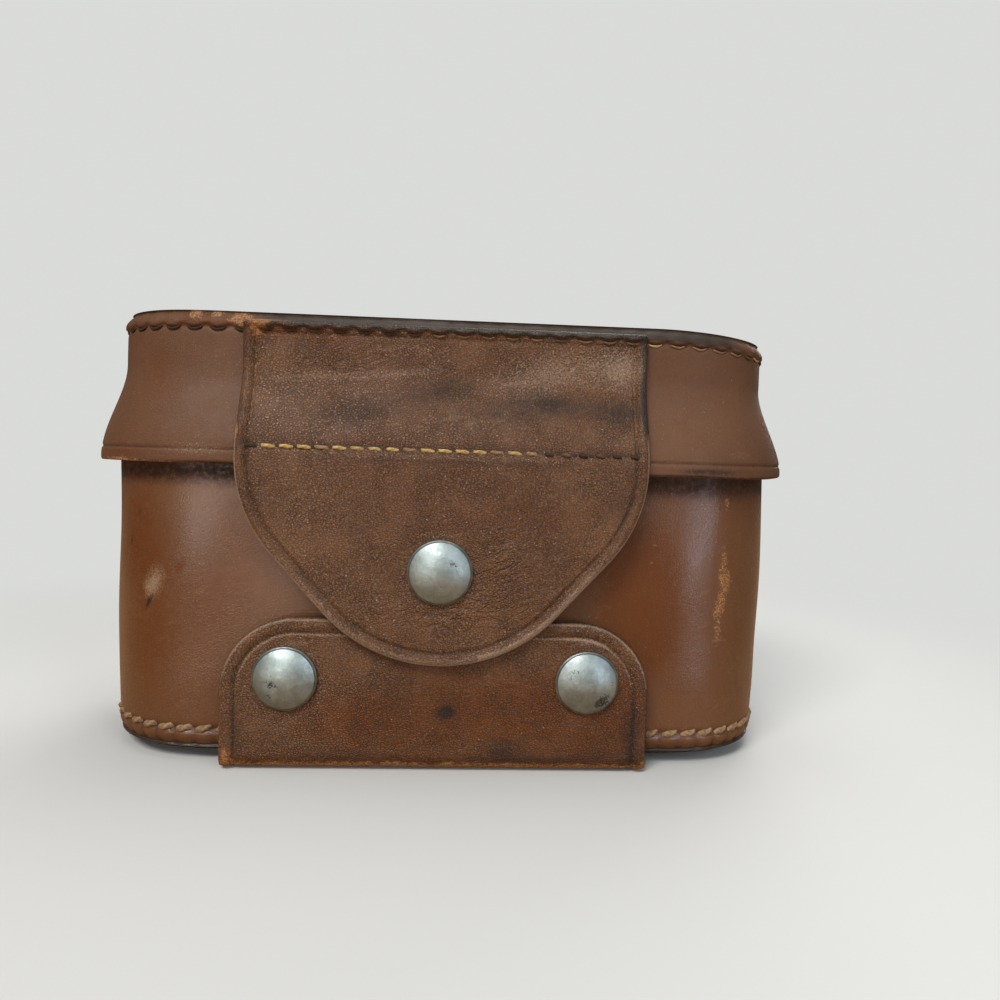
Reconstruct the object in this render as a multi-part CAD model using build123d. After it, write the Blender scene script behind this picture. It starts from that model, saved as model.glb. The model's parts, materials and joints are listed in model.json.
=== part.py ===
from build123d import *
import math
import os

# A leather camera case: a sewn body, a hinged lid with a flared skirt, a flap with a rounded tongue that
# snaps to the front, and a strap under the base whose front leaf snaps up over the body's lower edge.
# Frame: X to the right, Y to the rear, Z up. The origin is the middle of the face that the case rests on.
# All sizes are in millimetres. "Out" means outwards from the outer face of the body's wall.

# Leather and lining
wall_leather = 2.2
pan_leather = 2.0
flap_leather = 2.2
leaf_leather = 2.2
strap_leather = 2.0
hinge_leather = 2.0
lining_board = 1.4
lid_lining_board = 1.2
pad_thickness = 1.4
edge_rounding = 0.6

# Body
body_width = 165.0
body_depth = 68.0
corner_radius = 26.0
base_edge_height = 1.4
base_flange_height = 10.8
base_seam = 7.8
body_wall_lap = 7.1
collar_rise = 5.0

# Lid
hinge_height = 68.9
total_height = 103.8
skirt_out_side = 3.9
skirt_out_front = 4.5
top_inset = 2.0
flare_start_rise = 1.1
flare_end_depth = 11.8
flare_steps = 6
top_edge_height = 1.2
top_flange_depth = 8.9
top_seam_depth = 3.8
lid_lining_reach = 19.8
rear_slope_start = 6.0
rear_slope_end = 13.0

# Flap
flap_centre = -0.7
flap_half_width = 46.0
flap_row_rise = 4.4
tongue_tip_height = 25.0
tongue_side_angle = 47.8
tongue_tip_radius = 35.5
tongue_shoulder_radius = 32.0
flap_top_gap = 0.9

# Strap under the base and its front leaf
leaf_centre = -1.2
leaf_half_width = 48.9
leaf_top = 35.0
leaf_corner_radius = 17.0
leaf_standoff = 2.0
rear_tab_height = 20.0

# Rear hinge strip
hinge_half_width = 48.0
hinge_reach = 19.0
hinge_corner_radius = 6.0

# Snap fasteners
snap_centre = -1.1
tongue_snap_height = 46.4
leaf_snap_height = 21.3
leaf_snap_spacing = 68.5
cap_radius = 7.3
cap_rim = 0.7
cap_rise = 2.3
barrel_radius = 2.2
socket_radius = 5.8
socket_bore = 3.4
socket_thickness = 1.3
spring_wire = 0.5
stud_flange_radius = 5.0
stud_flange = 0.4
stud_neck_radius = 1.9
stud_head_radius = 2.45
stud_head = 0.9
stud_skin = 0.45
post_radius = 1.25
post_head_radius = 4.4
post_head = 0.5
lining_hole_radius = 5.0

# Thread
thread_radius = 0.42
thread_sunk = 0.17
base_pitch = 4.75
top_pitch = 5.4
row_pitch = 3.8
stitch_share = 0.74
seam_margin = 3.2

# Clearances
laid_gap = 0.02
fit_gap = 0.05
hinge_gap = 0.15
layer_gap = 0.3

# Worked out from the sizes above
half_width = body_width / 2
half_depth = body_depth / 2
rear_top = hinge_height - hinge_gap
lid_bottom = hinge_height + hinge_gap
tongue_inner = skirt_out_front
tongue_outer = tongue_inner + flap_leather
leaf_inner = leaf_standoff
leaf_outer = leaf_inner + leaf_leather
wall_bottom = strap_leather + base_edge_height
base_inside = strap_leather + pan_leather
base_flange_top = strap_leather + base_flange_height
body_wall_top = hinge_height + body_wall_lap
collar_top = body_wall_top + collar_rise
flare_start = hinge_height + flare_start_rise
flare_end = total_height - flare_end_depth
flap_row_height = hinge_height + flap_row_rise
lid_wall_top = total_height - top_edge_height
top_inside = total_height - pan_leather
top_flange_bottom = total_height - top_flange_depth
top_seam = total_height - top_seam_depth
lid_lining_bottom = total_height - lid_lining_reach
flap_axis_y = -(half_depth + tongue_outer)
leaf_axis_y = -(half_depth + leaf_outer)
hinge_axis_y = half_depth + hinge_leather
thread_lift = thread_radius - thread_sunk
thread_proud = thread_lift + thread_radius
tab_inside = half_depth + thread_proud + laid_gap
tab_outside = tab_inside + strap_leather
leaf_snap_x = [snap_centre - leaf_snap_spacing / 2, snap_centre + leaf_snap_spacing / 2]


def plan(side_out, front_out, rear_out, z):
    """The case's plan outline at height z, let out by the given amounts on its ends, front and rear."""
    width = body_width + 2 * side_out
    depth = body_depth + front_out + rear_out
    radius = corner_radius + side_out
    return Pos(0, (rear_out - front_out) / 2, z) * RectangleRounded(width, depth, radius)


def even_ring(outer, inner, bottom, top):
    """An upright wall between two plan outlines, each let out by one amount all round."""
    outside = extrude(plan(outer, outer, outer, bottom), amount=top - bottom)
    inside = extrude(plan(inner, inner, inner, bottom - 1), amount=top - bottom + 2)
    return outside - inside


def flare(z, skirt_out):
    """How far out the lid's outer face is at height z: the skirt's amount below, blending to the inset above."""
    share = min(max((z - flare_start) / (flare_end - flare_start), 0), 1)
    blend = share * share * (3 - 2 * share)
    return skirt_out - (skirt_out + top_inset) * blend


def flare_heights(bottom, top):
    """Heights from bottom to top, with the flare's own steps where they lie between."""
    step = (flare_end - flare_start) / flare_steps
    steps = [flare_start + i * step for i in range(flare_steps + 1)]
    return [bottom] + [z for z in steps if bottom + 0.5 < z < top - 0.5] + [top]


def lid_form(inset, bottom, top):
    """The solid inside the lid's outer face, let in by one amount, between two heights."""
    sections = []
    for z in flare_heights(bottom, top):
        side = flare(z, skirt_out_side) - inset
        front = flare(z, skirt_out_front) - inset
        sections.append(plan(side, front, -inset, z))
    return loft(sections, ruled=True)


def yz_prism(points, x_middle, half_length):
    """A prism along X whose section is the closed polygon of (y, z) points."""
    section = Plane.YZ * make_face(Polyline(*points, close=True))
    return Pos(x_middle - half_length, 0, 0) * extrude(section, amount=2 * half_length, dir=(1, 0, 0))


def front_slab(outline, inner, thickness, hinged_edge):
    """A leather slab cut to an outline in X and Z, standing in front of the body from inner to inner + thickness
    out. Its outer rim is rounded, except at its hinged edge: 0 is the lowest and -1 the highest."""
    y = -(half_depth + inner)
    slab = Pos(0, y, 0) * extrude(Plane.XZ * outline, amount=thickness, dir=(0, -1, 0))
    rim = slab.faces().sort_by(Axis.Y)[0].edges().sort_by(Axis.Z)
    rim.remove(rim[hinged_edge])
    return fillet(rim, radius=edge_rounding)


def front_rod(radius, inner, outer, x, z):
    """A round rod square to the front, from inner to outer out."""
    y = -(half_depth + inner)
    return Pos(x, y, z) * Rot(90, 0, 0) * Cylinder(
        radius, outer - inner, align=(Align.CENTER, Align.CENTER, Align.MIN)
    )


def rear_step():
    """What is cut from the body's wall and lining, so that both stay under the lid's hinged rear edge."""
    above = collar_top + 5
    behind = half_depth + 10
    points = [
        (rear_slope_start, above),
        (rear_slope_start, body_wall_top),
        (rear_slope_end, rear_top),
        (behind, rear_top),
        (behind, above),
    ]
    return yz_prism(points, 0, body_width)


def stud_holes(radius):
    """Rods through the front wall where the studs' posts pass."""
    places = [(snap_centre, tongue_snap_height)] + [(x, leaf_snap_height) for x in leaf_snap_x]
    return [front_rod(radius, -10, 10, x, z) for x, z in places]


def body_wall():
    wall = even_ring(0, -wall_leather, wall_bottom, body_wall_top) - rear_step()
    return wall - stud_holes(post_radius + fit_gap)


def pan(side, front, rear, outside, inside, flange_end, bevel):
    """A moulded pan: a plate from outside to inside, with a flange that runs on to flange_end."""
    low, high = min(outside, flange_end), max(outside, flange_end)
    block = extrude(plan(side, front, rear, low), amount=high - low)
    face_z = Axis.Z if outside > inside else -Axis.Z
    block = fillet(block.faces().sort_by(face_z)[-1].edges(), radius=bevel)
    room = abs(flange_end - inside) + 1
    start = inside if inside < flange_end else flange_end - 1
    hollow = plan(side - pan_leather, front - pan_leather, rear - pan_leather, start)
    return block - extrude(hollow, amount=room)


def body_base():
    out = -(wall_leather + laid_gap)
    return pan(out, out, out, strap_leather, base_inside, base_flange_top, pan_leather * 0.9)


def body_lining():
    outer = -(wall_leather + laid_gap)
    lining = even_ring(outer, outer - lining_board, base_flange_top + fit_gap, collar_top)
    return lining - rear_step() - stud_holes(lining_hole_radius)


def base_pad():
    out = -(wall_leather + pan_leather + layer_gap)
    return extrude(plan(out, out, out, base_inside + laid_gap), amount=pad_thickness)


def lid_wall():
    inside = lid_form(wall_leather, lid_bottom - 1, lid_wall_top + 1)
    return lid_form(0, lid_bottom, lid_wall_top) - inside


def lid_top():
    side = -(top_inset + wall_leather + laid_gap)
    rear = -(wall_leather + laid_gap)
    return pan(side, side, rear, total_height, top_inside, top_flange_bottom, pan_leather * 0.9)


def lid_lining():
    outer = wall_leather + laid_gap
    top = top_flange_bottom - fit_gap
    inside = lid_form(outer + lid_lining_board, lid_lining_bottom - 1, top + 1)
    return lid_form(outer, lid_lining_bottom, top) - inside


def top_pad():
    side = -(top_inset + wall_leather + pan_leather + layer_gap)
    rear = -(wall_leather + pan_leather + layer_gap)
    bottom = top_inside - laid_gap - pad_thickness
    return extrude(plan(side, side, rear, bottom), amount=pad_thickness)


def flap_panel():
    """The fixed part of the flap, which follows the front of the lid's wall."""
    heights = flare_heights(lid_bottom, lid_wall_top - flap_top_gap)
    inner = [(-(half_depth + flare(z, skirt_out_front) + laid_gap), z) for z in heights]
    outer = [(y - flap_leather, z) for y, z in inner]
    return yz_prism(inner + outer[::-1], flap_centre, flap_half_width)


def tongue_outline():
    """Upright sides, a rounded shoulder, a straight slant and a rounded tip."""
    slope = math.tan(math.radians(tongue_side_angle))
    half_tip = math.radians(90 - tongue_side_angle)
    apex = tongue_tip_height - tongue_tip_radius * (1 / math.sin(half_tip) - 1)
    shoulder = apex + flap_half_width * slope
    top = hinge_height - hinge_gap
    points = [
        (flap_half_width, top),
        (flap_half_width, shoulder),
        (0, apex),
        (-flap_half_width, shoulder),
        (-flap_half_width, top),
    ]
    face = make_face(Polyline(*points, close=True))
    corners = face.vertices().sort_by(Axis.Y)
    shoulder_room = (top - shoulder) / math.tan(math.radians(90 - tongue_side_angle) / 2)
    shoulder_arc = min(tongue_shoulder_radius, 0.98 * shoulder_room)
    face = fillet(corners[0], radius=tongue_tip_radius)
    sides = face.vertices().filter_by(lambda v: abs(v.Y - shoulder) < 1e-6)
    face = fillet(sides, radius=shoulder_arc)
    return Pos(flap_centre, 0) * face


def flap_tongue():
    tongue = front_slab(tongue_outline(), tongue_inner, flap_leather, -1)
    return tongue - front_rod(barrel_radius + fit_gap, 0, 20, snap_centre, tongue_snap_height)


def leaf_outline():
    bottom = hinge_gap
    height = leaf_top - bottom
    face = Rectangle(2 * leaf_half_width, height, align=(Align.CENTER, Align.MIN))
    face = fillet(face.vertices().group_by(Axis.Y)[-1], radius=leaf_corner_radius)
    return Pos(leaf_centre, bottom) * face


def front_leaf():
    leaf = front_slab(leaf_outline(), leaf_inner, leaf_leather, 0)
    return leaf - [front_rod(barrel_radius + fit_gap, 0, 20, x, leaf_snap_height) for x in leaf_snap_x]


def base_strap():
    """The strap under the base, turned up and sewn at the rear. Its front end is the fold of the leaf."""
    front = -(half_depth + leaf_inner - layer_gap)
    points = [
        (front, 0),
        (tab_outside, 0),
        (tab_outside, rear_tab_height),
        (tab_inside, rear_tab_height),
        (tab_inside, strap_leather),
        (front, strap_leather),
    ]
    strap = yz_prism(points, leaf_centre, leaf_half_width)
    fold = strap.edges().filter_by(Axis.X).group_by(Axis.Y)[-1].sort_by(Axis.Z)[0]
    return fillet(fold, radius=strap_leather * 0.9)


def hinge_half(direction):
    """One half of the leather strip across the rear joint: direction is 1 on the lid and -1 on the body."""
    face = Rectangle(2 * hinge_half_width, hinge_reach, align=(Align.CENTER, Align.MIN))
    face = fillet(face.vertices().group_by(Axis.Y)[-1], radius=hinge_corner_radius)
    half = extrude(Plane.XZ * face, amount=hinge_leather, dir=(0, 1, 0))
    if direction < 0:
        half = mirror(half, about=Plane.XY)
    return Pos(0, half_depth + laid_gap, hinge_height + direction * hinge_gap) * half


def snap_cap(inner, outer, x, z):
    """A domed cap on the leather's outer face, with a barrel through the leather to the socket."""
    ball = (cap_radius**2 + cap_rise**2) / (2 * cap_rise)
    rim = Line((0, 0), (cap_radius, 0)) + Line((cap_radius, 0), (cap_radius, cap_rim))
    dome = RadiusArc((cap_radius, cap_rim), (0, cap_rim + cap_rise), -ball)
    axis = Line((0, cap_rim + cap_rise), (0, 0))
    section = make_face(Plane.XZ * (rim + dome + axis))
    head = revolve(section, Axis.Z)
    placed = Pos(x, -(half_depth + outer + laid_gap), z) * Rot(90, 0, 0) * head
    return placed + front_rod(barrel_radius, inner, outer + cap_rim, x, z)


def snap_socket(inner, x, z):
    """The ring behind the leather, bored for the stud's head, with a floor that the cap's barrel meets."""
    low = inner - laid_gap - socket_thickness
    ring = front_rod(socket_radius, low, inner - laid_gap, x, z)
    return ring - front_rod(socket_bore, low - 1, inner - laid_gap - 0.2, x, z)


def snap_spring(inner, x, z):
    """A wire ring, open at one side, inside the socket's bore."""
    middle = socket_bore - spring_wire / 2 - fit_gap
    depth = inner - laid_gap - socket_thickness / 2
    wire = Plane.XZ * (Pos(middle, 0) * Circle(spring_wire / 2))
    ring = revolve(wire, Axis.Z, 320)
    return Pos(x, -(half_depth + depth), z) * Rot(90, 0, 0) * ring


def snap_stud(height, x, z):
    """A stud on the wall's outer face: a flange, a neck and a head, bored from behind for its post."""
    base = laid_gap
    stud = front_rod(stud_flange_radius, base, base + stud_flange, x, z)
    stud += front_rod(stud_neck_radius, base, height, x, z)
    head = front_rod(stud_head_radius, height - stud_head, height, x, z)
    stud += fillet(head.edges().filter_by(GeomType.CIRCLE), radius=stud_head * 0.3)
    return stud - front_rod(post_radius + fit_gap, base - 1, height - stud_skin, x, z)


def snap_post(height, x, z):
    """The post that holds a stud: a flat head inside the wall and a shank up into the stud."""
    inside = -(wall_leather + laid_gap)
    head = front_rod(post_head_radius, inside - post_head, inside, x, z)
    return head + front_rod(post_radius, inside - post_head, height - stud_skin - fit_gap, x, z)


def stitch(length):
    """One visible stitch, lying along X with its middle at the origin: a short round-ended rod."""
    reach = length / 2 - thread_radius
    ends = (-length / 2, 0), (length / 2, 0)
    outline = (
        Line(ends[0], ends[1])
        + Line((reach, thread_radius), (-reach, thread_radius))
        + RadiusArc((-reach, thread_radius), ends[0], -thread_radius)
        + RadiusArc(ends[1], (reach, thread_radius), -thread_radius)
    )
    return revolve(make_face(outline), Axis.X)


def plan_point(distance, side_out, front_out, rear_out):
    """Place and outward direction on the plan outline, at a distance from the middle of the front."""
    radius = corner_radius + side_out
    right = half_width + side_out
    front = half_depth + front_out
    rear = half_depth + rear_out
    run = right - radius
    end = front + rear - 2 * radius
    arc = radius * math.pi / 2
    perimeter = 4 * run + 2 * end + 4 * arc
    d = distance % perimeter
    flip = d > perimeter / 2
    if flip:
        d = perimeter - d
    if d < run:
        x, y, angle = d, -front, -90.0
    elif d < run + arc:
        angle = -90 + math.degrees((d - run) / radius)
        x = run + radius * math.cos(math.radians(angle))
        y = -front + radius + radius * math.sin(math.radians(angle))
    elif d < run + arc + end:
        x, y, angle = right, -front + radius + d - run - arc, 0.0
    elif d < run + 2 * arc + end:
        angle = math.degrees((d - run - arc - end) / radius)
        x = run + radius * math.cos(math.radians(angle))
        y = rear - radius + radius * math.sin(math.radians(angle))
    else:
        x, y, angle = perimeter / 2 - d, rear, 90.0
    if flip:
        x, angle = -x, 180 - angle
    return x, y, angle, perimeter


def seam_round(pitch, z, side_out, front_out, rear_out, raised_half_width=0):
    """Stitches all round the plan outline, raised on to the flap where it covers the front."""
    perimeter = plan_point(0, side_out, front_out, rear_out)[3]
    count = round(perimeter / pitch)
    one = stitch(perimeter / count * stitch_share)
    made = []
    for i in range(count):
        x, y, angle, _ = plan_point((i + 0.5) * perimeter / count, side_out, front_out, rear_out)
        raised = angle % 360 == 270 and abs(x - flap_centre) < raised_half_width
        out = thread_lift + (flap_leather + laid_gap if raised else 0)
        x += out * math.cos(math.radians(angle))
        y += out * math.sin(math.radians(angle))
        made.append(Pos(x, y, z) * Rot(0, 0, angle + 90) * one)
    return Compound(children=made)


def seam_row(pitch, half_length, x_middle, y, z):
    """A straight row of stitches along X."""
    count = round(2 * half_length / pitch)
    step = 2 * half_length / count
    one = stitch(step * stitch_share)
    places = [x_middle - half_length + (i + 0.5) * step for i in range(count)]
    return [Pos(x, y, z) * one for x in places]


def base_stitching():
    return seam_round(base_pitch, base_seam, 0, 0, 0)


def top_stitching():
    return seam_round(top_pitch, top_seam, -top_inset, -top_inset, 0, flap_half_width)


def flap_stitching():
    out = flare(flap_row_height, skirt_out_front) + laid_gap + flap_leather + thread_lift
    half_length = flap_half_width - seam_margin / 2
    return Compound(children=seam_row(row_pitch, half_length, flap_centre, -(half_depth + out), flap_row_height))


def strap_stitching():
    y = tab_outside + thread_lift
    half_length = leaf_half_width - seam_margin
    return Compound(children=seam_row(row_pitch, half_length, leaf_centre, y, rear_tab_height - seam_margin))


def hinge_stitching(direction):
    y = half_depth + laid_gap + hinge_leather + thread_lift
    near = hinge_height + direction * seam_margin
    far = hinge_height + direction * (hinge_reach - seam_margin)
    near_row = seam_row(row_pitch, hinge_half_width - seam_margin, 0, y, near)
    far_row = seam_row(row_pitch, hinge_half_width - hinge_corner_radius, 0, y, far)
    return Compound(children=near_row + far_row)


tongue_stud_height = tongue_inner - laid_gap - socket_thickness - layer_gap
leaf_stud_height = leaf_inner - layer_gap

nodes = {
    "body_wall": body_wall(),
    "body_base": body_base(),
    "base_stitching": base_stitching(),
    "body_lining": body_lining(),
    "base_pad": base_pad(),
    "base_strap": base_strap(),
    "strap_stitching": strap_stitching(),
    "rear_hinge_lower": hinge_half(-1),
    "lower_hinge_stitching": hinge_stitching(-1),
    "flap_snap_stud": snap_stud(tongue_stud_height, snap_centre, tongue_snap_height),
    "flap_snap_post": snap_post(tongue_stud_height, snap_centre, tongue_snap_height),
    "leaf_snap_studs": Compound(children=[snap_stud(leaf_stud_height, x, leaf_snap_height) for x in leaf_snap_x]),
    "leaf_snap_posts": Compound(children=[snap_post(leaf_stud_height, x, leaf_snap_height) for x in leaf_snap_x]),
    "lid_wall": lid_wall(),
    "lid_top": lid_top(),
    "top_stitching": top_stitching(),
    "lid_lining": lid_lining(),
    "top_pad": top_pad(),
    "flap_panel": flap_panel(),
    "flap_stitching": flap_stitching(),
    "rear_hinge_upper": hinge_half(1),
    "upper_hinge_stitching": hinge_stitching(1),
    "flap_tongue": flap_tongue(),
    "flap_snap_cap": snap_cap(tongue_inner, tongue_outer, snap_centre, tongue_snap_height),
    "flap_snap_socket": snap_socket(tongue_inner, snap_centre, tongue_snap_height),
    "flap_snap_spring": snap_spring(tongue_inner, snap_centre, tongue_snap_height),
    "front_leaf": front_leaf(),
    "left_leaf_cap": snap_cap(leaf_inner, leaf_outer, leaf_snap_x[0], leaf_snap_height),
    "right_leaf_cap": snap_cap(leaf_inner, leaf_outer, leaf_snap_x[1], leaf_snap_height),
    "leaf_snap_sockets": Compound(children=[snap_socket(leaf_inner, x, leaf_snap_height) for x in leaf_snap_x]),
    "leaf_snap_springs": Compound(children=[snap_spring(leaf_inner, x, leaf_snap_height) for x in leaf_snap_x]),
}

os.makedirs("parts", exist_ok=True)
for name, shape in nodes.items():
    export_step(shape, f"parts/{name}.step")

print("hinge axis of the lid: y", hinge_axis_y, "z", hinge_height)
print("hinge axis of the flap: y", round(flap_axis_y, 3), "z", hinge_height)
print("hinge axis of the leaf: y", round(leaf_axis_y, 3), "z", hinge_gap)
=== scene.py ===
import json
import math

import bmesh
import bpy
import numpy as np
from mathutils import Matrix, Vector


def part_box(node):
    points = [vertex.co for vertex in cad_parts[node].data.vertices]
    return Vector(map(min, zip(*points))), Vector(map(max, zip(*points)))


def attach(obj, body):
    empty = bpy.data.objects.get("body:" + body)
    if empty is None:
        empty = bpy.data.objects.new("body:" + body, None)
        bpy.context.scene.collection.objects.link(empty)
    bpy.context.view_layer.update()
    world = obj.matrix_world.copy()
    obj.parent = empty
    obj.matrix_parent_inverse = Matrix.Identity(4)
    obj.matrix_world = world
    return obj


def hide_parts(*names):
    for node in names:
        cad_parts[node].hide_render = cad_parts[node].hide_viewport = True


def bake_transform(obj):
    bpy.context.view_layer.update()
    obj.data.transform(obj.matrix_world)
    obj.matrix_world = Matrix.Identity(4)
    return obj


# A worn leather camera case. Shapes are worked out in millimetres and turned to metres by faceMesh.
# "Out" means outwards from the outer face of the body's wall.

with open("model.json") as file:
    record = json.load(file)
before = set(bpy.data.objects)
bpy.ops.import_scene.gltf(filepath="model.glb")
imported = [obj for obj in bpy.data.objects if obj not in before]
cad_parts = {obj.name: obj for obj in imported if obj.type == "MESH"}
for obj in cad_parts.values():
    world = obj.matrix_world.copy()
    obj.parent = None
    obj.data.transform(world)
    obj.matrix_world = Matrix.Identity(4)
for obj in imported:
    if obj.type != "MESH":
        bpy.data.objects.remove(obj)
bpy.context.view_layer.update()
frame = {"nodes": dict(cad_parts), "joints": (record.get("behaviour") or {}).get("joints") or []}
mm = 0.001


def nodeBox(name):
    low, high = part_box(name)
    return np.array(low) / mm, np.array(high) / mm


def jointPlace(name):
    found = [j for j in frame["joints"] if j["name"] == name]
    return np.array(found[0]["pos_m"]) / mm


wallLow, wallHigh = nodeBox("body_wall")
lidLow, lidHigh = nodeBox("lid_wall")
panelLow, panelHigh = nodeBox("flap_panel")
tongueLow, tongueHigh = nodeBox("flap_tongue")
leafLow, leafHigh = nodeBox("front_leaf")
strapHigh = nodeBox("base_strap")[1]
hingeLow, hingeHigh = nodeBox("rear_hinge_lower")
upperHigh = nodeBox("rear_hinge_upper")[1]
lidAxis = jointPlace("lid_hinge")

case = {
    "halfWidth": wallHigh[0],
    "halfDepth": wallHigh[1],
    "corner": 25.2,
    "blend": 7.8,  # half the stretch over which a corner's curve sets in
    "wall": 2.2,  # thickness of the walls' leather
    "gap": 0.02,  # between two layers that lie on each other
    "wallBottom": wallLow[2],
    "wallTop": wallHigh[2],
    "rearSlopeStart": 6.0,
    "rearSlopeEnd": 13.0,
    "rearTop": lidAxis[2] - 0.15,
    "skirtSide": lidHigh[0] - wallHigh[0],
    "skirtFront": -lidLow[1] - wallHigh[1],
    "inset": 2.0,  # how far in the lid's upper part stands
    "flareStart": 70.0,
    "flareEnd": 92.0,
    "lidBottom": lidLow[2],
    "lidWallTop": nodeBox("lid_top")[1][2] - 0.2,  # the wall's margin covers the bend of the top panel
    "baseSeam": 7.8,
    "topSeam": 100.0,
    "basePitch": 4.75,
    "topPitch": 5.4,
    "rowPitch": 3.8,
    "sink": 1.3,  # how far the lid's right end has sunk at the top
}

# The photograph's camera, in the case's frame: place in millimetres, turns in degrees, lens on a 36 mm sensor
camera = {"place": (1.91, -211.43, 72.81), "yaw": -3.30, "pitch": -3.30, "roll": -1.82, "lens": 27.76}

lamps = [
    # name, place, aimed at, width and height in metres, watts, colour
    ("windowLeft", (-0.40, -0.78, 0.92), (0, 0, 0.05), (0.50, 0.40), 11.0, (1.0, 0.985, 0.95)),
    ("windowRight", (0.55, -0.80, 0.50), (0.05, 0, 0.05), (0.30, 0.40), 1.9, (0.85, 0.92, 1.0)),
    ("lowLeft", (-0.25, -0.95, 0.25), (0, 0, 0.05), (0.30, 0.30), 1.3, (1.0, 0.97, 0.94)),
    ("glintRight", (0.201, -0.240, 0.030), (0.060, -0.034, 0.042), (0.034, 0.070), 0.105, (0.70, 0.84, 1.0)),
    ("glintLeft", (-0.160, -0.258, 0.034), (-0.055, -0.034, 0.042), (0.100, 0.080), 0.090, (1.0, 0.96, 0.93)),
    ("ceiling", (0.05, 0.1, 1.1), (0, 0, 0.05), (0.8, 0.8), 5.0, (1.0, 1.0, 1.0)),
    ("rearFill", (0.5, 0.95, 0.6), (0, 0, 0.05), (0.8, 0.8), 6.0, (1.0, 0.98, 0.95)),
]

studio = {
    "backdrop": (0.70, 0.71, 0.69),
    "floor": (0.62, 0.62, 0.61),  # as the camera sees it
    "underlight": (0.34, 0.20, 0.10),  # as it lights the case: warm and brown, from below
    "floorReach": 12.0,
    "fade": (0.14, 0.31),  # distances from the case over which the floor turns into the backdrop
    "ambient": 0.20,
    "mirrored": 0.22,  # strength of the backdrop in reflections
}


def addObject(name, data):
    item = bpy.data.objects.new(name, data)
    bpy.context.scene.collection.objects.link(item)
    return item


def turn(axis, degrees):
    return Matrix.Rotation(math.radians(degrees), 3, axis)


def makeCamera():
    data = bpy.data.cameras.new("photoCamera")
    data.sensor_width = 36.0
    data.lens = camera["lens"]
    data.clip_start = 0.01
    data.clip_end = 50
    item = addObject("photoCamera", data)
    facing = turn("Z", camera["yaw"]) @ turn("X", camera["pitch"]) @ turn("Y", camera["roll"])
    across, forward, up = facing.col[0], facing.col[1], facing.col[2]
    matrix = Matrix([across, up, -forward]).transposed().to_4x4()
    matrix.translation = Vector(camera["place"]) * mm
    item.matrix_world = matrix
    bpy.context.scene.camera = item


def makeLamps():
    for name, place, aim, size, watts, colour in lamps:
        data = bpy.data.lights.new(name, "AREA")
        data.shape = "RECTANGLE"
        data.size, data.size_y = size
        data.energy = watts
        data.color = colour
        item = addObject(name, data)
        item.location = place
        item.rotation_euler = (Vector(aim) - Vector(place)).to_track_quat("-Z", "Y").to_euler()
        item.visible_camera = False


# Small helpers for node materials


class Value:
    # One output of a node. Sums, differences and products of Values become Math nodes.
    def __init__(self, tree, socket):
        self.tree = tree
        self.socket = socket

    def __add__(self, other):
        return maths("ADD", self, other)

    def __sub__(self, other):
        return maths("SUBTRACT", self, other)

    def __rsub__(self, other):
        return maths("SUBTRACT", other, self)

    def __mul__(self, other):
        return maths("MULTIPLY", self, other)

    def clamped(self):
        self.socket.node.use_clamp = True
        return self

    def ease(self, low, high, toLow=0.0, toHigh=1.0):
        inputs = {"Value": self, "From Min": low, "From Max": high, "To Min": toLow, "To Max": toHigh}
        return addNode(self.tree, "ShaderNodeMapRange", inputs, interpolation_type="SMOOTHSTEP")


def setInputs(tree, node, inputs):
    for key, value in inputs.items():
        socket = node.inputs[key]
        if isinstance(value, Value):
            tree.links.new(value.socket, socket)
        else:
            socket.default_value = (*value, 1.0) if socket.type == "RGBA" else value


def addNode(tree, kind, inputs=None, output=0, **settings):
    made = tree.nodes.new(kind)
    for key, value in settings.items():
        setattr(made, key, value)
    setInputs(tree, made, inputs or {})
    return Value(tree, made.outputs[output])


def maths(operation, first, second=0.0):
    tree = first.tree if isinstance(first, Value) else second.tree
    return addNode(tree, "ShaderNodeMath", {0: first, 1: second}, operation=operation)


def mixColour(share, first, second):
    return addNode(share.tree, "ShaderNodeMix", {0: share, 6: first, 7: second}, 2, data_type="RGBA")


def inMillimetres(tree, stretch=(1.0, 1.0, 1.0), turned=(0.0, 0.0, 0.0)):
    # The place on the object, turned and then stretched, so that a pattern grows longer along turned axes
    place = addNode(tree, "ShaderNodeTexCoord", output="Object")
    inputs = {"Vector": place, "Rotation": turned, "Scale": tuple(s * mm for s in stretch)}
    return addNode(tree, "ShaderNodeMapping", inputs, vector_type="TEXTURE")


def noise(place, size, detail, roughness, distortion=0.0):
    inputs = {"Vector": place, "Scale": 1 / size, "Detail": detail, "Roughness": roughness}
    inputs["Distortion"] = distortion
    return addNode(place.tree, "ShaderNodeTexNoise", inputs)


def relief(height, depth=1.0, strength=1.0):
    inputs = {"Height": height, "Distance": depth * mm, "Strength": strength}
    return addNode(height.tree, "ShaderNodeBump", inputs)


def mask(tree, name):
    return addNode(tree, "ShaderNodeAttribute", output="Fac", attribute_name=name)


def newMaterial(name):
    made = bpy.data.materials.new(name)
    made.use_nodes = True
    return made, made.node_tree, made.node_tree.nodes["Principled BSDF"]


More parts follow.
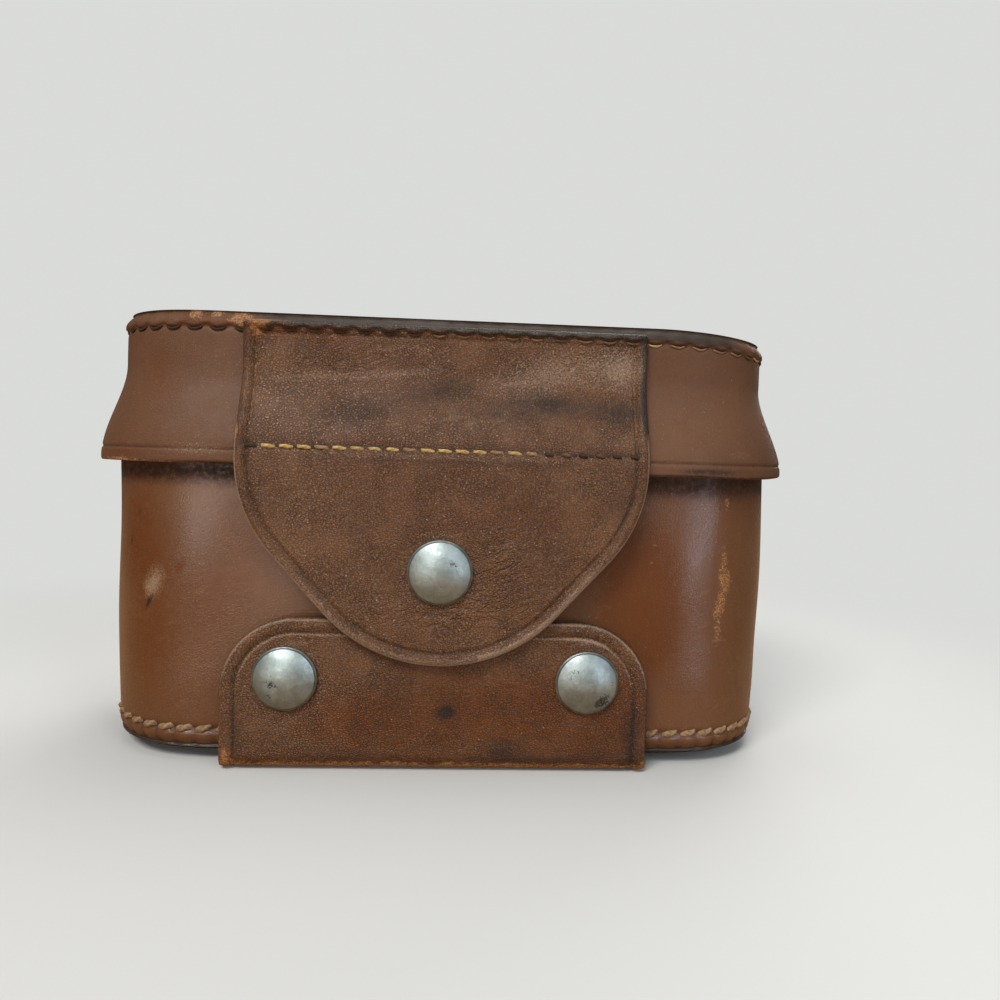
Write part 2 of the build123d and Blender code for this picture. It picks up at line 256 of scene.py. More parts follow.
def makeFloor():
    reach = studio["floorReach"]
    mesh = bpy.data.meshes.new("floor")
    corners = [(-reach, -reach, 0), (reach, -reach, 0), (reach, reach, 0), (-reach, reach, 0)]
    mesh.from_pydata(corners, [], [(0, 1, 2, 3)])
    floor = addObject("floor", mesh)
    made, tree, shader = newMaterial("paleFloor")
    seen = addNode(tree, "ShaderNodeLightPath", output="Is Camera Ray")
    tone = mixColour(seen, studio["underlight"], studio["floor"])
    setInputs(tree, shader, {"Base Color": tone, "Roughness": 0.7, "Specular IOR Level": 0.2})
    place = addNode(tree, "ShaderNodeTexCoord", output="Object")
    away = addNode(tree, "ShaderNodeVectorMath", {0: place}, "Value", operation="LENGTH")
    glow = addNode(tree, "ShaderNodeEmission", {"Color": studio["backdrop"], "Strength": 1.0})
    inputs = {0: away.ease(*studio["fade"]) * seen, 1: Value(tree, shader.outputs[0]), 2: glow}
    blended = addNode(tree, "ShaderNodeMixShader", inputs)
    setInputs(tree, tree.nodes["Material Output"], {"Surface": blended})
    mesh.materials.append(made)


def makeWorld():
    # The backdrop at full strength for the camera, weaker in reflections, and weakest as light on the case
    world = bpy.data.worlds.new("studio")
    bpy.context.scene.world = world
    world.use_nodes = True
    tree = world.node_tree
    outputs = ("Is Camera Ray", "Is Transmission Ray", "Is Glossy Ray")
    straight, through, mirrored = (addNode(tree, "ShaderNodeLightPath", output=output) for output in outputs)
    strength = maths("MAXIMUM", maths("MAXIMUM", straight, through), mirrored * studio["mirrored"])
    strength = maths("MAXIMUM", strength, studio["ambient"])
    setInputs(tree, tree.nodes["Background"], {"Color": studio["backdrop"], "Strength": strength})


scene = bpy.context.scene
scene.view_settings.view_transform = "Standard"
makeCamera()
makeLamps()
makeFloor()
makeWorld()
print("stage: camera, lamps and floor")


# Shapes


def smooth(share):
    share = np.clip(share, 0.0, 1.0)
    return share * share * (3 - 2 * share)


def bump(value, middle, width):
    return np.exp(-(((value - middle) / width) ** 2))


def rolling(points, size, seed):
    # The sum of twelve sine waves in fixed random directions, each about `size` long, from -1 to 1 or so
    random = np.random.default_rng(seed)
    way = random.normal(size=(12, 3))
    way /= np.linalg.norm(way, axis=1)[:, None]
    way *= (2 * np.pi / (size * random.uniform(0.7, 1.6, 12)))[:, None]
    phase = random.uniform(0, 2 * np.pi, 12)
    return np.sin(points @ way.T + phase).sum(-1) / 4.0


def outlineKnots():
    run = case["halfWidth"] - case["corner"]
    end = 2 * (case["halfDepth"] - case["corner"])
    arc = case["corner"] * math.pi / 2
    return np.cumsum([0, run, arc, end, arc, 2 * run, arc, end, arc, run])


def ringPoint(along, side, front, rear):
    # The mean of the plan over a short stretch, so that the corners' curve sets in gently
    total = outlineKnots()[-1]
    found = []
    for offset in np.linspace(-case["blend"], case["blend"], 7):
        there = along + offset
        turns = np.floor(there / total)
        x, y, direction = plainPoint(there - turns * total, side, front, rear)
        found.append((x, y, direction + turns * 2 * np.pi))
    return tuple(sum(part) / len(found) for part in zip(*found))


def plainPoint(along, side, front, rear):
    # The case's plan, let out by side, front and rear: the middle of the corner arc, which steps from corner
    # to corner, plus the arc's radius in the direction that turns from the front through the four sides
    knots = outlineKnots()
    direction = np.interp(along, knots, np.radians([-90, -90, 0, 0, 90, 90, 180, 180, 270, 270]))
    reach = case["halfWidth"] - case["corner"]
    middleX = np.interp(along, knots, np.array([0, 1, 1, 1, 1, -1, -1, -1, -1, 0]) * reach)
    back = np.interp(along, knots, [0, 0, 0, 1, 1, 1, 1, 0, 0, 0])
    radius = case["corner"] + side
    frontY = radius - case["halfDepth"] - front
    rearY = case["halfDepth"] + rear - radius
    middleY = frontY * (1 - back) + rearY * back
    return middleX + radius * np.cos(direction), middleY + radius * np.sin(direction), direction


def ringPath(step):
    total = outlineKnots()[-1]
    count = int(round(total / step))
    return (np.arange(count) * total / count)[None, :]


def gridMesh(name, points, masks=None, closedRows=False):
    # A grid of points in millimetres, closed from its last column to its first, with four-sided faces
    rows, columns = points.shape[:2]
    index = np.arange(rows * columns).reshape(rows, columns)
    if closedRows:
        index = np.vstack([index, index[:1]])
    return faceMesh(name, points.reshape(-1, 3), gridFaces(index), masks)


def gridFaces(index):
    index = np.hstack([index, index[:, :1]])
    return np.stack([index[:-1, :-1], index[:-1, 1:], index[1:, 1:], index[1:, :-1]], -1).reshape(-1, 4)


def faceMesh(name, points, faces, masks=None):
    # Points, faces and masks as a smooth mesh, with coinciding points made one and faces pointing outwards
    mesh = bpy.data.meshes.new(name)
    mesh.vertices.add(len(points))
    mesh.vertices.foreach_set("co", (points * mm).astype(np.float32).ravel())
    mesh.loops.add(faces.size)
    mesh.loops.foreach_set("vertex_index", faces.astype(np.int32).ravel())
    mesh.polygons.add(len(faces))
    mesh.polygons.foreach_set("loop_start", np.arange(len(faces), dtype=np.int32) * faces.shape[1])
    mesh.update(calc_edges=True)
    for key, values in (masks or {}).items():
        layer = mesh.attributes.new(key, "FLOAT", "POINT")
        layer.data.foreach_set("value", np.ascontiguousarray(values, dtype=np.float32).ravel())
    work = bmesh.new()
    work.from_mesh(mesh)
    bmesh.ops.remove_doubles(work, verts=work.verts, dist=1e-6)
    bmesh.ops.recalc_face_normals(work, faces=work.faces)
    work.to_mesh(mesh)
    work.free()
    mesh.polygons.foreach_set("use_smooth", np.ones(len(mesh.polygons), dtype=bool))
    mesh.update()
    return addObject(name, mesh)


def finishPiece(item, material, slotName, body, *replaced):
    item.data.materials.append(material)
    if body:
        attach(item, body)
    if replaced:
        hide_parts(*replaced)
    return item


def evenRows(stops, counts):
    # Heights in even steps from each stop to just before the next
    return np.concatenate([np.linspace(*part)[:-1] for part in zip(stops[:-1], stops[1:], counts)])


def wallProfile(outer, inner, low, top, thickness, corner):
    # A wall's closed profile: up the outer face, over the rounded rim, down the inner face and under the lower
    # rim. Gives each row's height and how far in it is.
    sweep = np.linspace(0, np.pi / 2, 5)
    rimIn = corner * (1 - np.cos(sweep))
    short = corner * (1 - np.sin(sweep))
    rimIn = np.concatenate([rimIn, thickness - rimIn[::-1]])
    short = np.concatenate([short, short[::-1]])
    height = np.concatenate([outer, top - short, inner, low + short])[:, None]
    inward = np.concatenate([outer * 0, rimIn, inner * 0 + thickness, rimIn[::-1]])[:, None]
    return height, inward


def pushOut(points, push, direction):
    points[..., 0] += push * np.cos(direction)
    points[..., 1] += push * np.sin(direction)


def marksOn(points, marks):
    # Each mark is a soft oval in X and Z on the front half; masks of one kind are added up
    found = {}
    for kind, places in marks.items():
        total = np.zeros(points.shape[:-1])
        for x, z, halfX, halfZ, angle, strength in places:
            c, s = math.cos(math.radians(angle)), math.sin(math.radians(angle))
            dx, dz = points[..., 0] - x, points[..., 2] - z
            total += strength * bump(dx * c + dz * s, 0, halfX) * bump(dz * c - dx * s, 0, halfZ)
        found[kind] = np.clip(total * (points[..., 1] < 0), 0, 1)
    return found


# Leather


def leatherMaterial(name, look):
    # Layers, from below: two browns in clouds and blots, pebbled grain with painted shade in its valleys and
    # painted glints on its crests, rubbed streaks, then the masks: warm rubs, stains and painted shade, dyed
    # edges, tan wear, pale scuffs and painted highlights; then dust, and the flesh side's fibres.
    made, tree, shader = newMaterial(name)
    cloudSize, streakSize, streakLength = look["cloudSize"], look["streakSize"], look["streakLength"]
    place = inMillimetres(tree)
    slanted = inMillimetres(tree, (streakLength, streakLength, 1.0), (0.0, look["streakTurn"], 0.0))
    fine = noise(place, 0.36, 3.0, 0.65)
    broken = noise(place, 1.3, 5.0, 0.75)
    colour = mixColour(noise(place, cloudSize, 3.0, 0.6).ease(0.32, 0.68), look["deep"], look["light"])
    blots = noise(place, cloudSize / 4, 4.0, 0.65).ease(0.35, 0.72)
    colour = mixColour(blots * look["blotShare"], colour, look["blot"])

    cells = {"Vector": inMillimetres(tree, (look["grainLength"], 1.0, 1.0)), "Scale": 1 / look["grainSize"]}
    cells["Randomness"] = 0.95
    cells = addNode(tree, "ShaderNodeTexVoronoi", cells, "Distance", feature="DISTANCE_TO_EDGE")
    pebble = (cells + fine * 0.26).ease(0.11, 0.40)
    patchy = noise(place, 8.0, 3.0, 0.6).ease(0.3, 0.65, 0.6, 1.0)
    valley = (1.0 - pebble) * patchy
    # Painted shade darkens the grain's valleys, and painted glints from the fine noise lighten its crests
    colour = mixColour(valley * look["valleyShade"], colour, look["stainAndShade"])
    colour = mixColour(fine.ease(0.5, 0.72) * look["crestGlint"], colour, look["rubbedAndGlint"])
    streaks = noise(slanted, streakSize, 4.0, 0.7, 0.6).ease(0.58, 0.70)
    colour = mixColour(streaks * look["streakShare"], colour, look["rubbedAndGlint"])

    warm = (mask(tree, "warm") * broken.ease(0.3, 0.62, 0.6, 1.2)).ease(0.1, 0.95)
    warmTone = mixColour(valley * look["valleyShade"], look["warm"], look["stainAndShade"])
    colour = mixColour(warm * 0.85, colour, warmTone)
    dark = (mask(tree, "dark") * broken.ease(0.25, 0.6, 0.6, 1.2)).ease(0.08, 0.9)
    colour = mixColour(dark * 0.88, colour, look["stainAndShade"])
    edge = (mask(tree, "edge") * broken.ease(0.2, 0.7, 0.7, 1.25)).ease(0.15, 0.85)
    colour = mixColour(edge * look["edgeShare"], colour, look["edge"])
    ragged = noise(inMillimetres(tree, (1.7, 1.7, 1.0), (0.0, 0.2, 0.0)), 1.0, 6.0, 0.85)
    tan = mask(tree, "tan")
    tan = ((tan + (ragged - 0.5) * 2.2) * tan.ease(0.02, 0.2)).ease(0.40, 0.68)
    colour = mixColour(tan * 0.9, colour, mixColour(fine.ease(0.35, 0.65), look["tan"], look["warm"]))
    pale = mask(tree, "pale")
    pale = ((pale + (fine - 0.5) * 1.6) * pale.ease(0.02, 0.2)).ease(0.1, 1.0)
    colour = mixColour(pale * 0.85, colour, look["pale"])
    dust = noise(place, 0.36, 1.0, 0.5).ease(0.755, 0.79)
    colour = mixColour(dust * look["dustShare"], colour, look["dust"])
    flesh = mask(tree, "flesh")
    fibres = mixColour((fine + broken).ease(0.8, 1.2), look["fleshDark"], look["fleshLight"])
    colour = mixColour(flesh * 0.92, colour, fibres)

    gloss = noise(place, cloudSize / 2, 3.0, 0.6).ease(0.3, 0.7, *look["gloss"])
    gloss = gloss + valley * 0.12 + (tan + pale) * 0.22 + dark * 0.15 + flesh * 0.45
    dry = dark + flesh + warm * 0.75
    setInputs(tree, shader, {
        "Base Color": colour,
        "Roughness": (gloss - edge * 0.1).clamped(),
        "Specular IOR Level": look["specular"],
        "Coat Weight": (1.0 - dry).clamped() * look["coat"],
        "Coat Roughness": look["coatRoughness"],
    })

    creases = noise(slanted, streakSize * 0.8, 5.0, 0.7, 1.2)
    folds = noise(slanted, streakSize * 1.3, 2.0, 0.5, 0.8) - 0.5
    wrinkles = maths("MINIMUM", maths("ABSOLUTE", folds), 0.07)  # thin valleys where the noise crosses 0.5
    height = pebble * patchy * look["grainDepth"] + fine * look["fineDepth"] + creases * look["creaseDepth"]
    height = height + tan * -0.06 + wrinkles * (mask(tree, "wrinkled") * 4.0)  # millimetres
    waxed = relief(height, strength=look["coatRelief"])  # wax fills part of the grain
    setInputs(tree, shader, {"Normal": relief(height), "Coat Normal": waxed})
    return made


bodyLook = {
    "deep": (0.120, 0.043, 0.013), "light": (0.158, 0.066, 0.027), "blot": (0.098, 0.036, 0.012),
    "rubbedAndGlint": (0.26, 0.14, 0.08), "edge": (0.024, 0.019, 0.014), "stainAndShade": (0.018, 0.010, 0.007),
    "warm": (0.112, 0.030, 0.003), "tan": (0.44, 0.22, 0.085), "pale": (0.30, 0.215, 0.135),
    "dust": (0.60, 0.52, 0.42), "fleshDark": (0.085, 0.045, 0.024), "fleshLight": (0.165, 0.095, 0.053),
    "cloudSize": 26.0, "blotShare": 0.45,  # sizes in millimetres, shares from 0 to 1
    "grainSize": 0.70, "grainLength": 1.0, "grainDepth": 0.035, "valleyShade": 0.14, "crestGlint": 0.08,
    "streakSize": 1.6, "streakLength": 3.2, "streakTurn": -0.45, "streakShare": 0.16,
    "fineDepth": 0.03, "creaseDepth": 0.05, "dustShare": 0.25, "edgeShare": 0.85,
    "gloss": (0.52, 0.62), "specular": 0.20, "coat": 0.80, "coatRoughness": 0.21, "coatRelief": 0.6,
}
lidLook = {
    **bodyLook,
    "deep": (0.108, 0.046, 0.020), "light": (0.140, 0.067, 0.034), "blot": (0.100, 0.037, 0.014),
    "tan": (0.40, 0.225, 0.115),
    "specular": 0.28, "coat": 0.03, "creaseDepth": 0.03, "streakShare": 0.08,
}
flapLook = {
    **bodyLook,
    "deep": (0.126, 0.046, 0.012), "light": (0.178, 0.076, 0.027), "blot": (0.094, 0.034, 0.010),
    "warm": (0.143, 0.038, 0.002), "rubbedAndGlint": (0.31, 0.195, 0.125), "pale": (0.34, 0.235, 0.165),
    "cloudSize": 24.0, "blotShare": 0.35, "grainSize": 0.54, "grainLength": 1.25, "grainDepth": 0.14,
    "valleyShade": 0.86, "crestGlint": 0.42, "streakTurn": -0.30, "streakShare": 0.20,
    "fineDepth": 0.04, "creaseDepth": 0.12, "dustShare": 0.6,
    "gloss": (0.30, 0.40), "specular": 0.33, "coat": 0.06,
}
baseLook = {**flapLook, "deep": (0.055, 0.027, 0.016), "light": (0.095, 0.048, 0.029), "gloss": (0.5, 0.65)}

bodyLeather = leatherMaterial("bodyLeather", bodyLook)
lidLeather = leatherMaterial("lidLeather", lidLook)
flapLeather = leatherMaterial("flapLeather", flapLook)
baseLeather = leatherMaterial("baseLeather", baseLook)
print("stage: leather materials")


def addTo(masks, **more):
    for key, values in more.items():
        masks[key] = np.clip(masks.get(key, 0) + values, 0, 1)


def wallTopAt(y):
    share = (y - case["rearSlopeStart"]) / (case["rearSlopeEnd"] - case["rearSlopeStart"])
    return case["wallTop"] + (case["rearTop"] - case["wallTop"]) * np.clip(share, 0, 1)


def followTop(height, top, topHere, straightBelow):
    # Rows lower than straightBelow stay level, and those above follow the sloped top
    return height + (topHere - top) * np.clip((height - straightBelow) / (top - straightBelow), 0, None)


bodyWall = {
    "step": 0.66,
    "corner": 0.8,
    "straightBelow": 30.0,
    "taper": 0.45,
    "seamDepth": 0.45,
    "seamWidth": 0.85,
    "seamRows": 1.6,  # finer rows this far above and below the seam
    "skive": 1.1,
    "skiveHeight": 3.2,
    "waviness": 0.36,
    "marks": {
        # x, z, half width, half height, turn in degrees, strength
        "pale": [(-66.3, 41.8, 2.4, 4.0, -15, 0.62), (-68.0, 39.8, 1.6, 1.8, 0, 0.35),
                 (66, 30, 2.2, 0.5, 0, 0.5)],
        "tan": [(66.3, 63.2, 1.1, 2, 0, 0.7), (66.2, 50.5, 1.2, 3.6, 5, 0.6), (66.8, 45, 2.4, 3.2, 20, 0.72),
                (65.8, 38.3, 1.9, 4.4, -10, 0.78), (65.6, 31, 1.2, 3.2, 0, 0.6), (48.6, 53, 0.9, 0.9, 30, 0.6),
                (48, 49, 0.5, 0.5, 0, 0.9)],
        "warm": [(47, 45, 11, 16, 8, 1.1), (45, 30, 10, 11, 0, 0.9), (-71, 52, 7, 16, 0, 0.7),
                 (-68, 25, 8, 14, 0, 0.5), (-60.2, 45.4, 0.8, 0.9, 0, 1), (-45, 18, 9, 5, 0, 0.25),
                 (-54, 38, 16, 18, 0, 0.4)],
        "dark": [(-67.7, 37.3, 0.45, 2.3, -24, 1.2), (-70.8, 57, 0.6, 0.9, 30, 0.6),
                 (-73.3, 50.5, 0.45, 1.4, 0, 0.7), (-48, 60, 2, 2, 0, 0.3), (36, 60, 5, 8, 30, 0.3)],
    },
}


def makeBodyWall():
    # The closed profile, carried round the plan; the outer face is pressed in along the base seam, below which
    # its margin swells between the holes and thins towards its edge, and rolls a little elsewhere
    look = bodyWall
    along = ringPath(look["step"])
    thickness, corner, near = case["wall"], look["corner"], look["seamRows"]
    low, top, seam = case["wallBottom"], case["wallTop"], case["baseSeam"]
    stops = [low + corner, seam - near, seam + near, top - corner]
    outer = evenRows(stops, (8, 14, 96))
    inner = np.linspace(top - corner, low + corner, 8)[1:-1]
    height, inward = wallProfile(outer, inner, low, top, thickness, corner)
    z = followTop(height, top, wallTopAt(ringPoint(along, 0.0, 0.0, 0.0)[1]), look["straightBelow"])
    x, y, direction = ringPoint(along, -inward, -inward, -inward)
    points = np.stack([x + 0 * z, y + 0 * z, z], -1)
    outside = smooth((0.9 - inward) / 0.9)
    swell = scallops(along, case["basePitch"])
    margin = smooth((seam - 0.4 - z) / 0.9)
    push = look["waviness"] * rolling(points, 34, 3) * smooth((z - 10) / 15)
    push = push - look["taper"] * smooth((22 - z) / 16)
    push = push - look["seamDepth"] * bump(z, seam, look["seamWidth"]) * (1.2 - 0.5 * swell)
    push = push + (0.34 * swell - 0.05) * margin
    push = push - look["skive"] * smooth((low + look["skiveHeight"] - z) / look["skiveHeight"]) ** 1.5
    pushOut(points, push * outside, direction)
    masks = marksOn(points, look["marks"])
    # Darker all round where the lid covers the wall, as unfaded leather, plus a painted shadow in a band just
    # below the skirt's lower edge that fades towards the rear
    coveredAndSkirtShadow = 0.22 * smooth((z - 60) / 8) + 0.46 * bump(z, 67.2, 3.4) * smooth((16 - points[..., 1]) / 30)
    onMargin = margin * (0.12 + 0.6 * smooth((seam - 2.5 - z) / 3) + 0.3 * (1 - swell) ** 2)
    addTo(
        masks,
        edge=smooth((inward - 0.1) / 0.7) + bump(z, low, 0.8),
        flesh=smooth((inward - thickness + 0.5) / 0.5) + 0 * z,
        dark=(coveredAndSkirtShadow + 0.5 * bump(z, seam, 0.8) + onMargin) * outside,
    )
    item = gridMesh("bodyWall", points, masks, True)
    return finishPiece(item, bodyLeather, "body_leather", "body", "body_wall")


def stitchCount(pitch, side):
    return int(round((outlineKnots()[-1] + 2 * math.pi * side) / pitch))


def scallops(along, pitch, side=0.0):
    # 0 at the stitch holes, 1 half way between them
    return np.abs(np.sin(np.pi * along * stitchCount(pitch, side) / outlineKnots()[-1]))


def marginShare(z):
    return smooth((z - case["topSeam"]) / 1.0)


def seamMargin(along, z):
    # The margin above the top seam bulges out and hangs over the thread in scallops, which reach lowest half
    # way between two holes. Gives how far it pushes out, and a painted shadow arc under each scallop.
    swell = scallops(along, case["topPitch"], -case["inset"])
    border = case["topSeam"] + 0.45 - 0.85 * swell
    bulge = 0.6 * (0.6 + 0.4 * swell) * smooth((z - border) / 0.6)
    groove = 0.30 * bump(z, border - 0.35, 0.45)
    shade = 0.75 * smooth(swell * 1.3 - 0.2) * bump(z, border - 0.1, 0.30)
    return bulge - groove, shade


def settle(points):
    # The right end of the lid has sunk a little at the top
    x, z = points[..., 0], points[..., 2]
    points[..., 2] = z - case["sink"] * smooth((x - 48) / 30) * smooth((z - 84) / 14)
    return points


def flare(z, skirt):
    blend = smooth((z - case["flareStart"]) / (case["flareEnd"] - case["flareStart"]))
    return skirt - (skirt + case["inset"]) * blend


lidWall = {
    "step": 0.66,
    "corner": 0.8,
    "creaseHeight": 3.2,  # above the lower edge
    "creaseDepth": 0.28,
    "lean": 1.5,  # how far the margin's top bends in over the pan
    "waviness": 0.22,
    "sag": 0.25,  # of the lower edge
    "marks": {
        "tan": [(-75, 69.3, 6, 0.9, 0, 0.8), (-58, 69, 14, 0.6, 0, 0.62), (60, 69.4, 12, 0.5, 0, 0.3),
                (-46.5, 76.5, 1, 2, 0, 0.6), (-46.5, 101, 2, 3, 0, 0.7), (77.3, 82.5, 0.9, 1.3, 0, 0.9),
                (-57.8, 102.6, 1.8, 1.5, 0, 1.2), (-53.4, 102.8, 1.4, 0.9, 0, 1.1),
                (-48.5, 101.8, 3, 1.4, 0, 0.8)],
        "warm": [(-56, 101.5, 9, 2.0, 0, 0.8), (77.3, 82.5, 1.6, 2.0, 0, 0.9), (-66, 88, 8, 8, 0, 0.45),
                 (-74, 71, 7, 1.5, 0, 0.6), (-60, 76, 8, 4, 0, 0.3), (-78, 98, 3, 3, 0, 0.4)],
        "pale": [(-57.8, 103.4, 1.0, 0.5, 0, 0.8), (-56, 72.3, 8, 1.6, 0, 0.35), (-52, 90, 9, 9, 0, 0.16),
                 (68, 74.5, 5, 1.5, 0, 0.25)],
        "dark": [(-54, 97, 6, 2, 0, 0.2), (-56, 89, 10, 5, 0, 0.2), (60, 70.5, 9, 0.9, 0, 0.7),
                 (58, 101.5, 12, 2.5, 0, 0.4), (62, 92, 6, 4, 0, 0.22)],
    },
}


def makeLidWall():
    # The same kind of wall, whose outer face follows the flare: a soft S from the skirt to the inset
    look = lidWall
    along = ringPath(look["step"])
    thickness, corner = case["wall"], look["corner"]
    low, top, seam = case["lidBottom"], case["lidWallTop"], case["topSeam"]
    crease = low + look["creaseHeight"]
    stops = [low + corner, crease - 0.8, crease + 0.8, seam - 1.8, seam + 1.2, top - corner]
    outer = evenRows(stops, (5, 7, 28, 15, 4))
    inner = np.linspace(top - corner, low + corner, 22)[1:-1]
    z, inward = wallProfile(outer, inner, low, top, thickness, corner)
    side, front = (flare(z, case[skirt]) - inward for skirt in ("skirtSide", "skirtFront"))
    x, y, direction = ringPoint(along, side, front, -inward)
    z = z + 0 * x
    points = np.stack([x, y, z], -1)
    outside = smooth((0.9 - inward) / 0.9)
    # arcs are the painted shadows under the margin's scallops
    margin, arcs = seamMargin(along, z)
    push = look["waviness"] * rolling(points, 30, 7) * smooth((z - 70) / 6)
    push = push + margin * (1 - smooth((z - top + 1.0) / 1.0) * 0.6)
    push = push - look["lean"] * smooth((z - seam - 0.5) / (top - seam - 0.5)) ** 1.5
    push = (push - look["creaseDepth"] * bump(z, crease, 0.35)) * outside
    pushOut(points, np.where(z < crease, np.minimum(push, 0), push), direction)
    sag = look["sag"] * rolling(points, 26, 11) * smooth((low + 3 - points[..., 2]) / 3)
    points[..., 2] = np.maximum(points[..., 2] + sag, low)
    masks = marksOn(points, look["marks"])
    middle = smooth((x + 48) / 10) * smooth((72 - x) / 10)  # there the margin is blackened, at the ends brown
    line = 0.5 * bump(z, crease, 0.3) + 0.5 * (low + 0.7 > z) * (x > 40)
    addTo(
        masks,
        edge=smooth((inward - 0.2) / 0.7) + marginShare(z) * (0.25 + 0.55 * middle),
        flesh=smooth((inward - thickness + 0.5) / 0.5) + 0 * z,
        dark=(arcs + line) * outside,
    )
    item = gridMesh("lidWall", settle(points), masks, True)
    return finishPiece(item, lidLeather, "lid_leather", "lid", "lid_wall")


def fanGrid(insets, profile, step):
    # Rings that shrink from the plan outline inwards, each row at (how far in, z), and then straight on
    # to a short middle line. Gives the points and how far in they are.
    side, front, rear = insets
    inward, z = np.array(profile).T[..., None]
    x, y, direction = ringPoint(ringPath(step), side - inward, front - inward, rear - inward)
    ring = np.stack([x, y, z + 0 * x], -1)
    spine = np.stack([np.clip(x[-1], -40, 40), 0 * y[-1] + (rear - front) / 2, ring[-1, :, 2]], -1)
    share = np.linspace(0, 1, 15)[1:, None, None]
    points = np.concatenate([ring, ring[-1][None] * (1 - share) + spine[None] * share])
    depth = np.concatenate([inward + 0 * x, inward[-1] + 20 * share[..., 0] + 0 * x[:1]])
    return points, depth


panLook = {"step": 1.25, "leather": 2.0, "bevel": 1.7, "rim": 0.4}


def makePan(name, node, plateOnTop, insets, body, sag):
    # A moulded pan: from the rim of its flange up the outside, over a round bend and across the plate, and the
    # same on the inside. Both skins end on the middle line, so that the shell is closed.
    low, high = (place[2] for place in nodeBox(node))
    leather, bevel, rim = panLook["leather"], panLook["bevel"], panLook["rim"]
    sign = 1 if plateOnTop else -1
    plate, flange = (high, low) if plateOnTop else (low, high)
    under = plate - sign * leather
    start = flange + sign * 0.5
    outer = [(0.0, z) for z in np.linspace(start, plate - sign * bevel, 8)[:-1]]
    sweep = np.linspace(0, np.pi / 2, 8)
    bend = [(bevel * (1 - math.cos(a)), plate - sign * bevel * (1 - math.sin(a))) for a in sweep]
    inner = [(leather, z) for z in np.linspace(start, under, 8)[:-1]]
    outerRows = [(rim, flange)] + outer + bend + [(4.0, plate), (9.0, plate)]
    innerRows = [(leather - rim, flange)] + inner + [(4.0, under), (9.0, under)]
    outerPoints, outerDepth = fanGrid(insets, outerRows, panLook["step"])
    innerPoints, innerDepth = fanGrid(insets, innerRows, panLook["step"])
    points = np.concatenate([innerPoints[::-1], outerPoints])
    depth = np.concatenate([innerDepth[::-1], outerDepth])
    points[..., 2] -= sag * smooth((depth - 4) / 20)  # the plate sinks a little in the middle
    outside = (np.arange(len(points)) >= len(innerPoints))[:, None]
    atEnds = np.abs(points[..., 0]) > 60
    masks = {
        "edge": smooth((3.2 - depth) / 1.4) * outside,
        "tan": 0.35 * bump(depth, bevel * 0.6, 0.8) * atEnds * outside,
        "flesh": ~outside + 0 * depth,
    }
    item = gridMesh(name, settle(points), masks)
    return finishPiece(item, baseLeather, "base_leather", body, node)


makeBodyWall()
makeLidWall()
pan = -(case["wall"] + case["gap"])
lidPan = pan - case["inset"]
makePan("basePan", "body_base", False, (pan, pan, pan), "body", 0.0)
makePan("lidTop", "lid_top", True, (lidPan, lidPan, pan), "lid", 0.6)
print("stage: walls and pans")


# Leather panels: flap, strap and hinge strip


def rimHeight(depth, thickness, rim):
    # Height of the outer skin at a depth in from the cut edge: a low rolled rim, then a crease, then flat
    roll = rim["rise"] * bump(depth, rim["width"] * 0.55, rim["width"] * 0.36)
    crease = rim["crease"] * bump(depth, rim["width"] * 1.15, rim["width"] * 0.17)
    return thickness + roll - crease


def slabGrid(path, targets, look, reach, fan):
    # Both skins of a leather slab as one grid. Each outline point is carried inwards along its normal up to
    # the nearest corner's bisector, on along that, and then straight to its target on the middle line. The cut
    # edge between the skins is a half round. Gives flat places, heights above the inner skin, depths, and the
    # share of the outer skin.
    outline, normals, room, onward = path
    bend, width = 0.6, look["rim"]["width"]
    near = np.concatenate([np.linspace(reach, width * 1.7, 6)[:-1], np.linspace(width * 1.7, bend, 20)])
    sweep = np.linspace(0, np.pi, 11)[1:-1]
    back = np.array([bend, width, width * 2.0, reach])
    inward = np.concatenate([near, bend * (1 - np.sin(sweep)), back])[:, None]
    kept = np.minimum(inward, room[None])
    flat = outline[None] + normals[None] * kept[..., None] + onward[None] * (inward - kept)[..., None]
    share = np.linspace(0, 1, fan)[:-1, None, None]
    outer = flat[0][None] * share + targets[None] * (1 - share)
    inner = flat[-1][None] * share[::-1] + targets[None] * (1 - share[::-1])
    ones = np.ones((fan - 1, len(outline)))
    depth = np.concatenate([ones * reach, inward + 0 * kept, ones * reach])
    rise = np.concatenate([near * 0 + 1, (1 + np.cos(sweep)) / 2, back * 0])[:, None]
    rise = np.concatenate([ones, rise + 0 * kept, ones * 0])
    height = rimHeight(depth, look["leather"], look["rim"]) * rise
    return np.concatenate([outer, flat, inner]), height, depth, rise


def outerShare(rise):
    return smooth((rise - 0.5) / 0.5)


